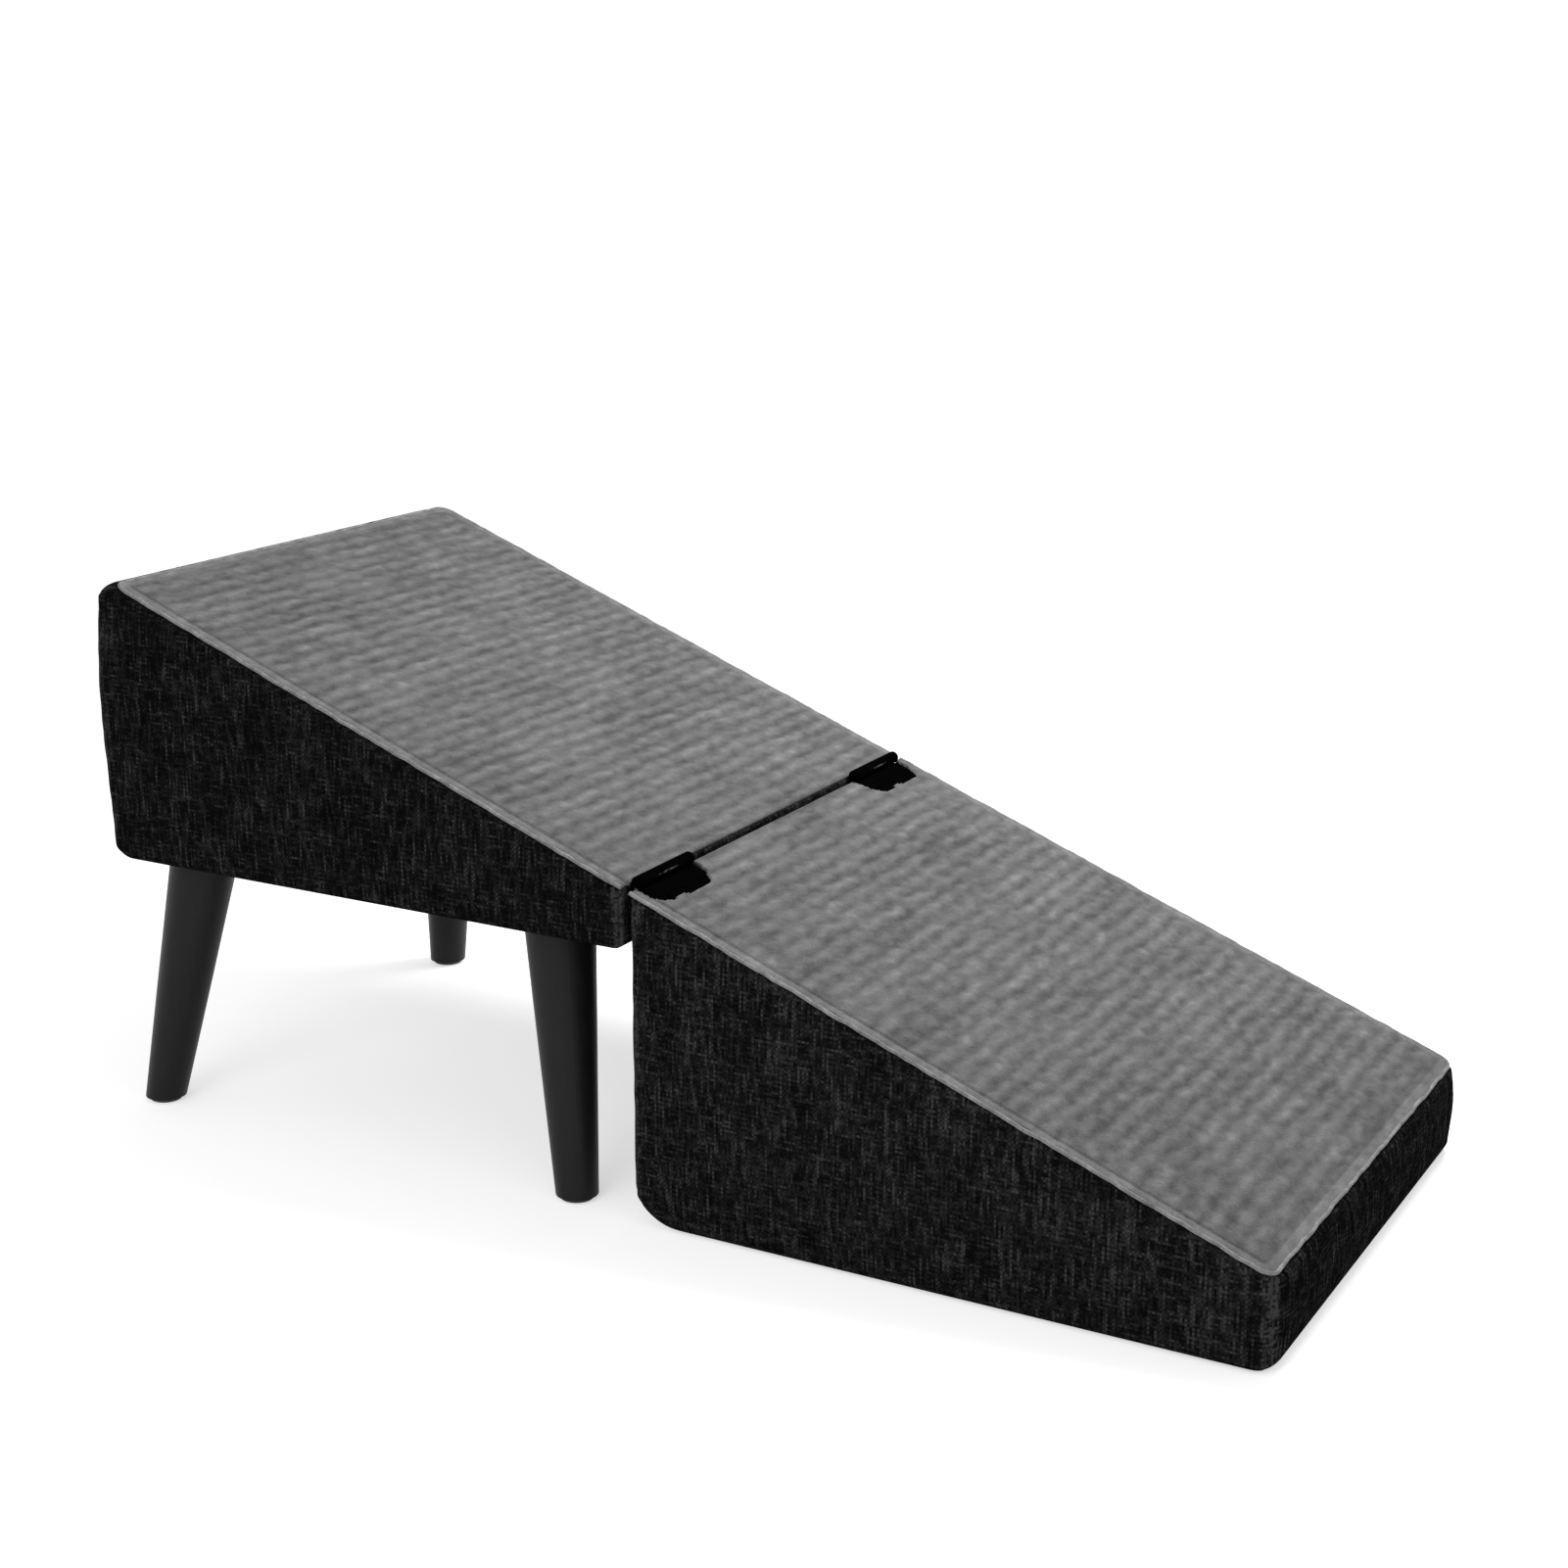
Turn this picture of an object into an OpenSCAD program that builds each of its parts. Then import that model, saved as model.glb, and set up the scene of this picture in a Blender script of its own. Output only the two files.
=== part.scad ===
// Folding dog ramp that closes into a low ottoman.
// Two upholstered wedges meet at a joint with a butt hinge near each side. Open, they make one
// slope from a sofa down to the floor: the upper wedge stands on four splayed legs and the lower
// wedge lies on the floor. Closed, the lower wedge is turned over on top of the upper one, slope
// against slope, and its base becomes the level top of the ottoman.
// Millimetres. The origin is on the floor under the middle of the joint. +X runs down the slope,
// +Y across it and +Z up. Left and right are those of a dog walking up.

/* [Sections] */
// Length of each section along the floor
section_length = 450; // [380:5:600]
// Width of both sections
section_width = 400; // [320:5:600]
// Fall of the walking surface over one section
section_drop = 171; // [130:1:200]
// Height of the upper section at its thin end
upper_thin = 46; // [40:1:60]
// Height of the lower section at its thin end
lower_thin = 66; // [50:1:90]
// Gap between the two sections at the joint
joint_gap = 5; // [4.5:0.5:8]

/* [Upholstery] */
// Thickness of the linen cover
cover_t = 1.5; // [1:0.1:2.5]
// Thickness of the foam round the frame
padding_t = 8; // [5:1:14]
// Rounding of the upright edges away from the joint
upright_r = 18; // [10:1:24]
// Rounding of the upright edges at the joint
joint_upright_r = 8; // [4:1:9]
// Rounding of the bottom edge of the upper section at its thick end
upper_heel_r = 18; // [8:1:24]
// Rounding of the bottom edge of the upper section at the joint
upper_joint_r = 9; // [4:1:12]
// Rounding of the top edge of the upper section at its thick end
upper_crown_r = 18; // [6:1:20]
// Rounding of the bottom edge of the lower section at the joint
lower_heel_r = 34; // [8:1:36]
// Rounding of the bottom edge of the lower section at its thin end
lower_toe_r = 10; // [4:1:14]
// Rounding of the top edge of the lower section at its thin end
lower_lip_r = 5; // [2:1:8]
// Rounding of the bottom edges along both sides
side_bottom_r = 6; // [3:1:10]
// Width of the cover turned under the base
hem_w = 34; // [20:1:36]
// Distance of the cloth under a base from the edges of its section
base_cloth_inset = 15; // [10:1:18]
// Thickness of the dust cloth under the upper section
dust_cloth_t = 0.8; // [0.5:0.1:1.5]
// Thickness of the non-slip cloth under the lower section
grip_cloth_t = 1; // [0.8:0.1:2]

/* [Tread] */
// Thickness of the tread over its ribs
tread_t = 4; // [3.5:0.1:4.2]
// Height of the ribs over the valleys between them
rib_h = 1.7; // [1:0.1:2.2]
// Spacing of the ribs down the slope
rib_pitch = 14; // [11:0.5:20]
// Width of a rib at its foot
rib_w = 10.5; // [6:0.5:11]
// Distance of the tread's bound edge from the sides of the section
tread_inset = 1; // [0.5:0.1:3]
// How far the bound end of a tread reaches over the rounded edge of the cover
tread_overhang = 2; // [0:0.5:3]
// Rounding of a tread's two outer corners
tread_corner_r = 12; // [11:1:20]
// Width of the bound edge
binding_w = 10; // [6:0.5:10.5]
// Thickness of the bound edge beside its piping
binding_t = 2.4; // [1.5:0.1:3]
// Diameter of the piping along the bound edge
piping_d = 3.6; // [2:0.1:4]
// Clearance between the field of the tread and its bound edge
binding_clearance = 0.3; // [0.1:0.1:1]
// Plain strip between the last rib and the end of the field
tread_end_strip = 4; // [2:0.5:8]
// Distance between the tread and the joint face on the upper section
tread_set_back = 0.5; // [0.3:0.1:2]

/* [Frame] */
// Thickness of the side, end and cross panels
panel_t = 12; // [9:1:15]
// Thickness of the base boards
base_t = 12; // [9:1:15]
// Thickness of the decks under the treads
deck_t = 9; // [6:1:10]
// Width of the rails at the hinge and at the toe
rail_w = 30; // [20:1:40]
// Height of the lower hinge rail at its low side
lower_rail_h = 50; // [30:1:70]
// Height of the corner blocks
block_h = 18; // [12:1:20]

/* [Legs] */
// Diameter of a leg at its top
leg_top_d = 50; // [40:1:56]
// Diameter of a leg at its tip
leg_tip_d = 30; // [22:1:38]
// Lean of a leg from the vertical, along the diagonal of the section
leg_lean = 12; // [4:0.5:14]
// Distance of the rear leg plates' outer screws from the end panel
plate_gap_rear = 7; // [4:1:30]
// Distance of the front leg plates' outer screws from the hinge rail
plate_gap_front = 25; // [4:1:40]
// Distance of the leg plates' outer screws from the side panels
plate_gap_side = 2.5; // [2.5:0.5:20]
// Width of a square leg plate
leg_plate_w = 64; // [60:1:64]
// Thickness of a leg plate
leg_plate_t = 2.5; // [2:0.1:3]
// Distance of a plate's screws from its middle, along each side
leg_plate_screw = 24; // [20:1:26]
// Diameter of the hanger bolt in a leg
bolt_d = 8; // [6:1:10]
// Length of the hanger bolt inside the leg
bolt_in_leg = 30; // [20:1:40]
// Length of the hanger bolt above the leg
bolt_above_leg = 11; // [8:0.5:12]
// Diameter of the threaded bush on a leg plate
bush_d = 14; // [12:0.5:16]
// Diameter of the hole in the base board over each bush
bush_hole_d = 24; // [20:1:28]
// Diameter of a foot glide
glide_d = 24; // [16:1:26]
// Thickness of a foot glide
glide_t = 3; // [2:0.5:5]

/* [Hinges] */
// Length of a hinge along the joint
hinge_length = 66; // [50:1:90]
// Distance of a hinge from the bound edge of the tread
hinge_gap = 0.8; // [0.5:0.1:40]
// Outer diameter of the knuckles
knuckle_d = 9; // [8.6:0.2:11]
// Number of knuckles
knuckle_count = 5; // [3:2:7]
// Clearance between neighbouring knuckles and round them
hinge_clearance = 0.3; // [0.2:0.05:0.5]
// Diameter of the hinge pin
pin_d = 4; // [3:0.1:5]
// Running clearance round the pin, on the radius
pin_clearance = 0.05; // [0.03:0.01:0.1]
// Thickness of a hinge leaf
leaf_t = 2; // [1.5:0.1:2.4]
// Width of a leaf from the pin to its edge
leaf_w = 26; // [26:1:34]
// Distance of the leaf's screws from the pin
leaf_screw_line = 19; // [18:0.5:20]
// Distance of the outer screws from the ends of the leaf
leaf_screw_end = 12; // [8:0.5:20]
// Margin of the tread's notch round the hinge
notch_margin = 3; // [1:0.5:6]

/* [Screws] */
// Least distance of a hinge screw from the side panel beside it
screw_edge = 2.5; // [2.5:0.5:6]
// Diameter of a screw's shank
screw_d = 3.5; // [3:0.1:4]
// Diameter of a screw's countersunk head
screw_head_d = 7; // [6:0.1:8]
// Length of a hinge screw
hinge_screw_l = 16; // [12:1:20]
// Length of a leg plate screw
plate_screw_l = 22; // [18:1:26]

/* [Hidden] */

$fn = 48;
arc_steps = 7;          // flats that stand for one rounded edge
hole_clearance = 0.05;  // radial clearance of a screw or bolt in its hole
far = 2000;             // longer than any piece, for cutting

left = -1;
right = 1;
rear = -1;
front = 1;

// ---- The walking surface: one sloping plane over both sections ----
ramp_angle = atan(section_drop / section_length);
ramp_z0 = lower_thin + section_drop + joint_gap / 2 * tan(ramp_angle);

// Height at x of the plane that lies `depth` under the walking surface, measured square to it
function plane_z(x, depth = 0) = ramp_z0 - x * tan(ramp_angle) - depth / cos(ramp_angle);

// Layers under the walking surface, measured square to it
cover_depth = tread_t;
deck_depth = cover_depth + cover_t;
deck_under = deck_depth + deck_t;

upper_base = plane_z(-joint_gap / 2) - upper_thin;

// ---- A section: its thick and thin ends, its base, its padded ends and its edge roundings ----
// [x of thick end, x of thin end, z of the cover's bottom, foam at thick end, foam at thin end,
//  [bottom thick, bottom thin, top thin, top thick rounding], [upright thick, upright thin rounding]]
UPPER = [
    -joint_gap / 2 - section_length, -joint_gap / 2, upper_base, padding_t, 0,
    [upper_heel_r, upper_joint_r, 0, upper_crown_r], [upright_r, joint_upright_r]
];
LOWER = [
    joint_gap / 2, joint_gap / 2 + section_length, grip_cloth_t, 0, padding_t,
    [lower_heel_r, lower_toe_r, lower_lip_r, 0], [joint_upright_r, upright_r]
];

function thick_x(s) = s[0];
function thin_x(s) = s[1];
function base_z(s) = s[2];
function profile_radii(s) = s[5];
function upright_radii(s) = s[6];
function frame_x0(s) = thick_x(s) + cover_t + s[3];
function frame_x1(s) = thin_x(s) - cover_t - s[4];
function floor_z(s) = base_z(s) + cover_t;
function panel_z(s) = floor_z(s) + base_t;

frame_half_w = section_width / 2 - cover_t - padding_t;
inner_half_w = frame_half_w - panel_t;
lower_rail_z = plane_z(frame_x0(LOWER) + rail_w, deck_under) - lower_rail_h;

// ---- Outlines with rounded corners ----
function unit(v) = v / norm(v);

// The arc that replaces corner p, between the neighbours a and b, of an outline that runs anticlockwise
function corner_arc(a, p, b, r) =
    r <= 0 ? [p] :
    let (
        u = unit(a - p),
        v = unit(b - p),
        half = acos(u * v) / 2,
        centre = p + unit(u + v) * r / sin(half),
        start = p + u * r / tan(half) - centre,
        from = atan2(start.y, start.x),
        sweep = 180 - 2 * half
    )
    [for (i = [0:arc_steps]) let (a = from + sweep * i / arc_steps) centre + r * [cos(a), sin(a)]];

function rounded(points, radii) =
    let (n = len(points))
    [for (i = [0:n - 1]) each corner_arc(points[(i + n - 1) % n], points[i], points[(i + 1) % n], radii[i])];

function less(radii, t) = [for (r = radii) max(r - t, 0)];

// Side view of a section, pulled in by t all round, with its top `depth` under the walking surface
function side_outline(s, t, depth) =
    let (x0 = thick_x(s) + t, x1 = thin_x(s) - t, z = base_z(s) + t)
    rounded(
        [[x0, z], [x1, z], [x1, plane_z(x1, depth)], [x0, plane_z(x0, depth)]],
        less(profile_radii(s), t)
    );

// Plan of a section, pulled in by t
function plan_outline(s, t) =
    let (x0 = thick_x(s) + t, x1 = thin_x(s) - t, y = section_width / 2 - t, r = less(upright_radii(s), t))
    rounded([[x0, -y], [x1, -y], [x1, y], [x0, y]], [r[0], r[1], r[1], r[0]]);

// End view of a section, pulled in by t: only its bottom edges are rounded
function end_outline(s, t) =
    let (y = section_width / 2 - t, z = base_z(s) + t, r = max(side_bottom_r - t, 0))
    rounded([[-y, z], [y, z], [y, far], [-y, far]], [r, r, 0, 0]);

// Extrudes a side view (x, z) to width w, across the ramp
module across(w) {
    rotate([90, 0, 0])
        linear_extrude(height = w, center = true)
            children();
}

// Places its children on the walking surface: x down the slope, z square to it
module on_slope(x = 0) {
    translate([x, 0, plane_z(x)])
        rotate([0, ramp_angle, 0])
            children();
}

// ---- Upholstery ----
// The soft outer form of a section, pulled in by t
module section_form(s, t, depth) {
    intersection() {
        across(section_width - 2 * t)
            polygon(side_outline(s, t, depth));
        linear_extrude(height = far)
            polygon(plan_outline(s, t));
        rotate([90, 0, 90])
            linear_extrude(height = far, center = true)
                polygon(end_outline(s, t));
    }
}

// Linen cover: top and sides in one skin, turned under the base as a hem
module cover(s) {
    color([0.075, 0.075, 0.08])
        difference() {
            section_form(s, 0, cover_depth);
            section_form(s, cover_t, deck_depth);
            translate([thick_x(s) + hem_w, hem_w - section_width / 2, base_z(s) - 1])
                cube([section_length - 2 * hem_w, section_width - 2 * hem_w, cover_t + 2]);
            if (s == UPPER) leg_screw_shanks();
            if (s == UPPER) leaf_screw_shanks(upper_leaf_angle);
            if (s == LOWER) leaf_screw_shanks(lower_leaf_angle);
        }
}

// Foam between the frame and the cover, on the sides and on the end away from the joint
module padding(s) {
    color([0.82, 0.80, 0.72])
        difference() {
            section_form(s, cover_t, deck_depth);
            across(2 * frame_half_w)
                polygon([
                    [frame_x0(s) - (s[3] > 0 ? 0 : padding_t), 0],
                    [frame_x1(s) + (s[4] > 0 ? 0 : padding_t), 0],
                    [frame_x1(s) + (s[4] > 0 ? 0 : padding_t), far],
                    [frame_x0(s) - (s[3] > 0 ? 0 : padding_t), far]
                ]);
        }
}

// ---- Tread ----
// Distance along a face from a corner of the side view to where its rounding ends
function rounding_run(r, corner) = r / tan(corner / 2);

// Ends of the treads, measured down the slope from the middle of the joint
upper_tread_start = thick_x(UPPER) / cos(ramp_angle)
    + rounding_run(upper_crown_r, 90 - ramp_angle) - tread_overhang;
upper_tread_end = -(joint_gap / 2 + tread_set_back) / cos(ramp_angle);
lower_tread_start = joint_gap / 2 / cos(ramp_angle) + tread_t * tan(ramp_angle);
lower_tread_end = thin_x(LOWER) / cos(ramp_angle)
    - max(rounding_run(lower_lip_r, 90 + ramp_angle) - tread_overhang, 0) - tread_inset;
tread_half_w = section_width / 2 - tread_inset;
field_edge = binding_w + binding_clearance;
rib_r = (pow(rib_w / 2, 2) + pow(rib_h, 2)) / (2 * rib_h);

// Side view of a ribbed mat from s0 to s1, with its ribs' tops at 0
module rib_profile(s0, s1) {
    count = floor((s1 - s0 - 2 * tread_end_strip - rib_w) / rib_pitch) + 1;
    first = (s0 + s1) / 2 - (count - 1) * rib_pitch / 2;
    translate([s0, -tread_t])
        square([s1 - s0, tread_t - rib_h]);
    for (i = [0:count - 1])
        translate([first + i * rib_pitch, 0])
            intersection() {
                translate([0, -rib_r])
                    circle(r = rib_r);
                translate([-rib_w / 2, -rib_h - 0.2])
                    square([rib_w, rib_h + 0.4]);
            }
}

// Ribbed field of a tread from s0 to s1, with its corners rounded by r0 at s0 and r1 at s1
module tread_field(s0, s1, r0, r1) {
    half_w = tread_half_w - field_edge;
    on_slope()
        intersection() {
            across(section_width)
                rib_profile(s0, s1);
            linear_extrude(height = 4 * tread_t, center = true)
                polygon(rounded(
                    [[s0, -half_w], [s1, -half_w], [s1, half_w], [s0, half_w]],
                    [r0, r1, r1, r0]
                ));
        }
}

module upper_tread() {
    color([0.36, 0.36, 0.37])
        tread_field(upper_tread_start + field_edge, upper_tread_end, tread_corner_r - field_edge, 0);
}

module lower_tread() {
    color([0.36, 0.36, 0.37])
        difference() {
            tread_field(lower_tread_start, lower_tread_end - field_edge, 0, tread_corner_r - field_edge);
            for (side = [left, right])
                hinge_notch(side);
        }
}

// Section of the bound edge: x runs inwards from its rim and y up from the cover
module binding_section() {
    translate([piping_d / 2, piping_d / 2])
        circle(d = piping_d);
    translate([piping_d / 2, 0])
        square([binding_w - piping_d / 2, binding_t]);
}

// Bound edge round the end of a tread at x = 0 and along both its sides
module binding(length) {
    r = tread_corner_r;
    color([0.42, 0.42, 0.43])
        translate([0, 0, -tread_t]) {
            across(2 * (tread_half_w - r))
                binding_section();
            for (flip = [0, 1])
                mirror([0, flip, 0]) {
                    translate([r, -tread_half_w, 0])
                        rotate([90, 0, 90])
                            linear_extrude(height = length - r)
                                binding_section();
                    translate([r, r - tread_half_w, 0])
                        rotate([0, 0, 180])
                            rotate_extrude(angle = 90)
                                translate([r, 0])
                                    mirror([1, 0])
                                        binding_section();
                }
        }
}

module upper_tread_binding() {
    on_slope()
        translate([upper_tread_start, 0, 0])
            binding(upper_tread_end - upper_tread_start);
}

module lower_tread_binding() {
    on_slope()
        translate([lower_tread_end, 0, 0])
            mirror([1, 0, 0])
                binding(lower_tread_end - lower_tread_start);
}

// ---- Frame ----
// Keeps a frame member inside the cover, so that boards follow its rounded edges
module inside(s) {
    intersection() {
        children();
        section_form(s, cover_t, deck_depth);
    }
}

module side_panel(s, side) {
    color([0.74, 0.60, 0.42])
        inside(s)
            translate([0, side * (frame_half_w - panel_t / 2), 0])
                across(panel_t)
                    polygon([
                        [frame_x0(s), panel_z(s)],
                        [frame_x1(s), panel_z(s)],
                        [frame_x1(s), plane_z(frame_x1(s), deck_under)],
                        [frame_x0(s), plane_z(frame_x0(s), deck_under)]
                    ]);
}

// A board across the frame, between the side panels, from x0 to x1 and from z up to the deck
module cross_member(s, x0, x1, z) {
    color([0.78, 0.65, 0.46])
        inside(s)
            across(2 * inner_half_w)
                polygon([[x0, z], [x1, z], [x1, plane_z(x1, deck_under)], [x0, plane_z(x0, deck_under)]]);
}

module deck_board(s) {
    x0 = frame_x0(s);
    x1 = frame_x1(s);
    color([0.80, 0.66, 0.45])
        difference() {
            inside(s)
                across(2 * frame_half_w)
                    polygon([
                        [x0, plane_z(x0, deck_under)], [x1, plane_z(x1, deck_under)],
                        [x1, plane_z(x1, deck_depth)], [x0, plane_z(x0, deck_depth)]
                    ]);
            if (s == LOWER) leaf_screw_shanks(lower_leaf_angle);
        }
}

module base_board(s) {
    color([0.72, 0.58, 0.40])
        difference() {
            inside(s)
                translate([frame_x0(s), -frame_half_w, floor_z(s)])
                    cube([frame_x1(s) - frame_x0(s), 2 * frame_half_w, base_t]);
            if (s == UPPER) leg_screw_shanks();
            if (s == UPPER) bush_holes();
        }
}

module upper_end_panel() {
    x0 = frame_x0(UPPER);
    cross_member(UPPER, x0, x0 + panel_t, panel_z(UPPER));
}

// The lower end panel stops under the hinge rail
module lower_end_panel() {
    x0 = frame_x0(LOWER);
    intersection() {
        cross_member(LOWER, x0, x0 + panel_t, panel_z(LOWER));
        between(0, lower_rail_z);
    }
}

module cross_panel(s) {
    middle = (frame_x0(s) + frame_x1(s)) / 2;
    cross_member(s, middle - panel_t / 2, middle + panel_t / 2, panel_z(s));
}

module upper_hinge_rail() {
    color([0.84, 0.70, 0.48])
        difference() {
            cross_member(UPPER, frame_x1(UPPER) - rail_w, frame_x1(UPPER), panel_z(UPPER));
            leaf_screw_shanks(upper_leaf_angle);
        }
}

module lower_hinge_rail() {
    x0 = frame_x0(LOWER);
    color([0.84, 0.70, 0.48])
        difference() {
            cross_member(LOWER, x0, x0 + rail_w, lower_rail_z);
            leaf_screw_shanks(lower_leaf_angle);
        }
}

module lower_toe_rail() {
    cross_member(LOWER, frame_x1(LOWER) - rail_w, frame_x1(LOWER), panel_z(LOWER));
}

// Pine blocks that fill the corners of the upper section as far as the leg plates reach
module upper_corner_blocks() {
    half = leg_plate_w / 2;
    rear_x = frame_x0(UPPER) + panel_t;
    front_x = leg_x(front) - half;
    inner_y = leg_y(right) - half;
    color([0.86, 0.72, 0.50])
        difference() {
            for (flip = [0, 1])
                mirror([0, flip, 0]) {
                    translate([rear_x, inner_y, panel_z(UPPER)])
                        cube([leg_x(rear) + half - rear_x, inner_half_w - inner_y, block_h]);
                    translate([front_x, inner_y, panel_z(UPPER)])
                        cube([frame_x1(UPPER) - rail_w - front_x, inner_half_w - inner_y, block_h]);
                }
            leg_screw_shanks();
        }
}

// ---- Cloths under the bases ----
module base_cloth(s, t, z) {
    w = section_width - 2 * base_cloth_inset;
    translate([thick_x(s) + base_cloth_inset, -w / 2, z])
        cube([section_length - 2 * base_cloth_inset, w, t]);
}

module upper_dust_cloth() {
    color([0.05, 0.05, 0.05])
        difference() {
            base_cloth(UPPER, dust_cloth_t, upper_base - dust_cloth_t);
            leg_screw_shanks();
            bush_holes();
        }
}

module lower_grip_cloth() {
    color([0.10, 0.10, 0.11])
        base_cloth(LOWER, grip_cloth_t, 0);
}

// ---- Legs ----
leg_z = upper_base - dust_cloth_t - leg_plate_t;  // underside of the leg plates
plate_z = upper_base - dust_cloth_t;              // their top

function leg_x(end) =
    end == rear ? frame_x0(UPPER) + panel_t + plate_gap_rear + leg_plate_screw
    : frame_x1(UPPER) - rail_w - plate_gap_front - leg_plate_screw;
function leg_y(side) = side * (inner_half_w - plate_gap_side - leg_plate_screw);

// Stands its children on the top of a leg, with +z up the leg's leaning axis
module on_leg(end, side) {
    translate([leg_x(end), leg_y(side), leg_z])
        rotate([0, 0, atan2(side, end)])
            rotate([0, -leg_lean, 0])
                children();
}

module each_leg() {
    for (end = [rear, front], side = [left, right])
        translate([leg_x(end), leg_y(side), 0])
            children();
}

// Everything between two heights
module between(z0, z1) {
    translate([-far / 2, -far / 2, z0])
        cube([far, far, z1 - z0]);
}

module leg(end, side) {
    run = (leg_z - glide_t) / cos(leg_lean);
    spare = leg_top_d;
    taper = (leg_top_d - leg_tip_d) / 2 / run;
    color([0.045, 0.045, 0.048])
        difference() {
            intersection() {
                on_leg(end, side)
                    translate([0, 0, -run - spare])
                        cylinder(
                            r1 = leg_tip_d / 2 - spare * taper,
                            r2 = leg_top_d / 2 + spare * taper,
                            h = run + 2 * spare
                        );
                between(glide_t, leg_z);
            }
            on_leg(end, side)
                translate([0, 0, -bolt_in_leg])
                    cylinder(r = bolt_d / 2 + hole_clearance, h = far);
        }
}

// Disc under the tip of a leg, flat on the floor
module leg_glide(end, side) {
    reach = (leg_z - glide_t) * tan(leg_lean) / sqrt(2);
    color([0.16, 0.16, 0.17])
        translate([leg_x(end) + end * reach, leg_y(side) + side * reach, 0]) {
            cylinder(d1 = glide_d - 1, d2 = glide_d, h = glide_t / 3);
            translate([0, 0, glide_t / 3])
                cylinder(d = glide_d, h = glide_t * 2 / 3);
        }
}

module leg_bolt(end, side) {
    color([0.66, 0.67, 0.69])
        on_leg(end, side)
            translate([0, 0, -bolt_in_leg])
                cylinder(d = bolt_d, h = bolt_in_leg + bolt_above_leg);
}

// Square steel plate with a leaning threaded bush for the leg's bolt
module leg_plate(end, side) {
    corner_r = 6;
    half = leg_plate_w / 2;
    color([0.10, 0.10, 0.11])
        difference() {
            union() {
                translate([leg_x(end), leg_y(side), leg_z])
                    linear_extrude(height = leg_plate_t)
                        polygon(rounded(
                            [[-half, -half], [half, -half], [half, half], [-half, half]],
                            [corner_r, corner_r, corner_r, corner_r]
                        ));
                intersection() {
                    on_leg(end, side)
                        translate([0, 0, -bush_d / 2])
                            cylinder(d = bush_d, h = bush_d / 2 + bolt_above_leg - 2);
                    between(leg_z, upper_base + base_t);
                }
            }
            on_leg(end, side)
                translate([0, 0, -bush_d])
                    cylinder(r = bolt_d / 2 + hole_clearance, h = far);
            plate_screw_places(leg_x(end), leg_y(side))
                screw_hole();
        }
}

module plate_screw_places(x, y) {
    for (i = [-1, 1], j = [-1, 1])
        translate([x + i * leg_plate_screw, y + j * leg_plate_screw, leg_z])
            children();
}

module leg_screw_shanks() {
    for (end = [rear, front], side = [left, right])
        plate_screw_places(leg_x(end), leg_y(side))
            cylinder(r = screw_d / 2 + hole_clearance, h = plate_screw_l + hole_clearance);
}

module bush_holes() {
    each_leg()
        translate([0, 0, upper_base - 5])
            cylinder(d = bush_hole_d, h = cover_t + base_t + 10);
}

// ---- Screws ----
head_h = (screw_head_d - screw_d) / 2;

// Countersunk screw with its head's face at z = 0 and its shank along +z
module screw(length) {
    slot_w = 0.9;
    slot_l = screw_head_d * 0.62;
    slot_depth = 1.1;
    tip_h = 4;
    difference() {
        union() {
            cylinder(d1 = screw_head_d, d2 = screw_d, h = head_h);
            translate([0, 0, head_h])
                cylinder(d = screw_d, h = length - head_h - tip_h);
            translate([0, 0, length - tip_h])
                cylinder(d1 = screw_d, d2 = 0.6, h = tip_h);
        }
        for (turn = [0, 90])
            rotate([0, 0, turn])
                translate([-slot_l / 2, -slot_w / 2, -1])
                    cube([slot_l, slot_w, slot_depth + 1]);
    }
}

// The space that a screw's head and shank take in the plate that it holds
module screw_hole() {
    shank_r = screw_d / 2 + hole_clearance;
    translate([0, 0, -hole_clearance])
        cylinder(r1 = screw_head_d / 2 + hole_clearance, r2 = shank_r, h = head_h + hole_clearance);
    cylinder(r = shank_r, h = far);
}

module leg_plate_screws() {
    color([0.60, 0.61, 0.62])
        for (end = [rear, front], side = [left, right])
            plate_screw_places(leg_x(end), leg_y(side))
                screw(plate_screw_l);
}

// ---- Hinges ----
knuckle_r = knuckle_d / 2;
knuckle_pitch = hinge_length / knuckle_count;
axis_x = -joint_gap / 2 + knuckle_r + hinge_clearance;
axis_z = plane_z(axis_x, cover_depth - knuckle_r - hinge_clearance);
pin_head_d = knuckle_d - 2;
pin_head_t = 1.2;
leaf_screw_pitch = hinge_length / 2 - leaf_screw_end;

// A hinge lies as far out as the bound edge of the tread and the side panel let it
hinge_end = min(
    tread_half_w - binding_w - hinge_gap - pin_head_t,
    inner_half_w - screw_edge + leaf_screw_end
);
hinge_y = hinge_end - hinge_length / 2;

// Places its children on the pin of a hinge: x away from the joint, y along the pin
module on_pin(side, angle = 0) {
    translate([axis_x, side * hinge_y, axis_z])
        rotate([0, angle, 0])
            children();
}

// Round bar along y, from a to b
module along_pin(r, a, b) {
    translate([0, b, 0])
        rotate([90, 0, 0])
            cylinder(r = r, h = b - a);
}

// Knuckles first, first + 2, ... of the hinge, each made wider by `grow` and longer by it at both ends
module knuckles(first, grow) {
    side_gap = hinge_clearance / 2 - grow;
    for (i = [first:2:knuckle_count - 1]) {
        a = i * knuckle_pitch - hinge_length / 2;
        along_pin(knuckle_r + grow, a + side_gap, a + knuckle_pitch - side_gap);
    }
}

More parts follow.
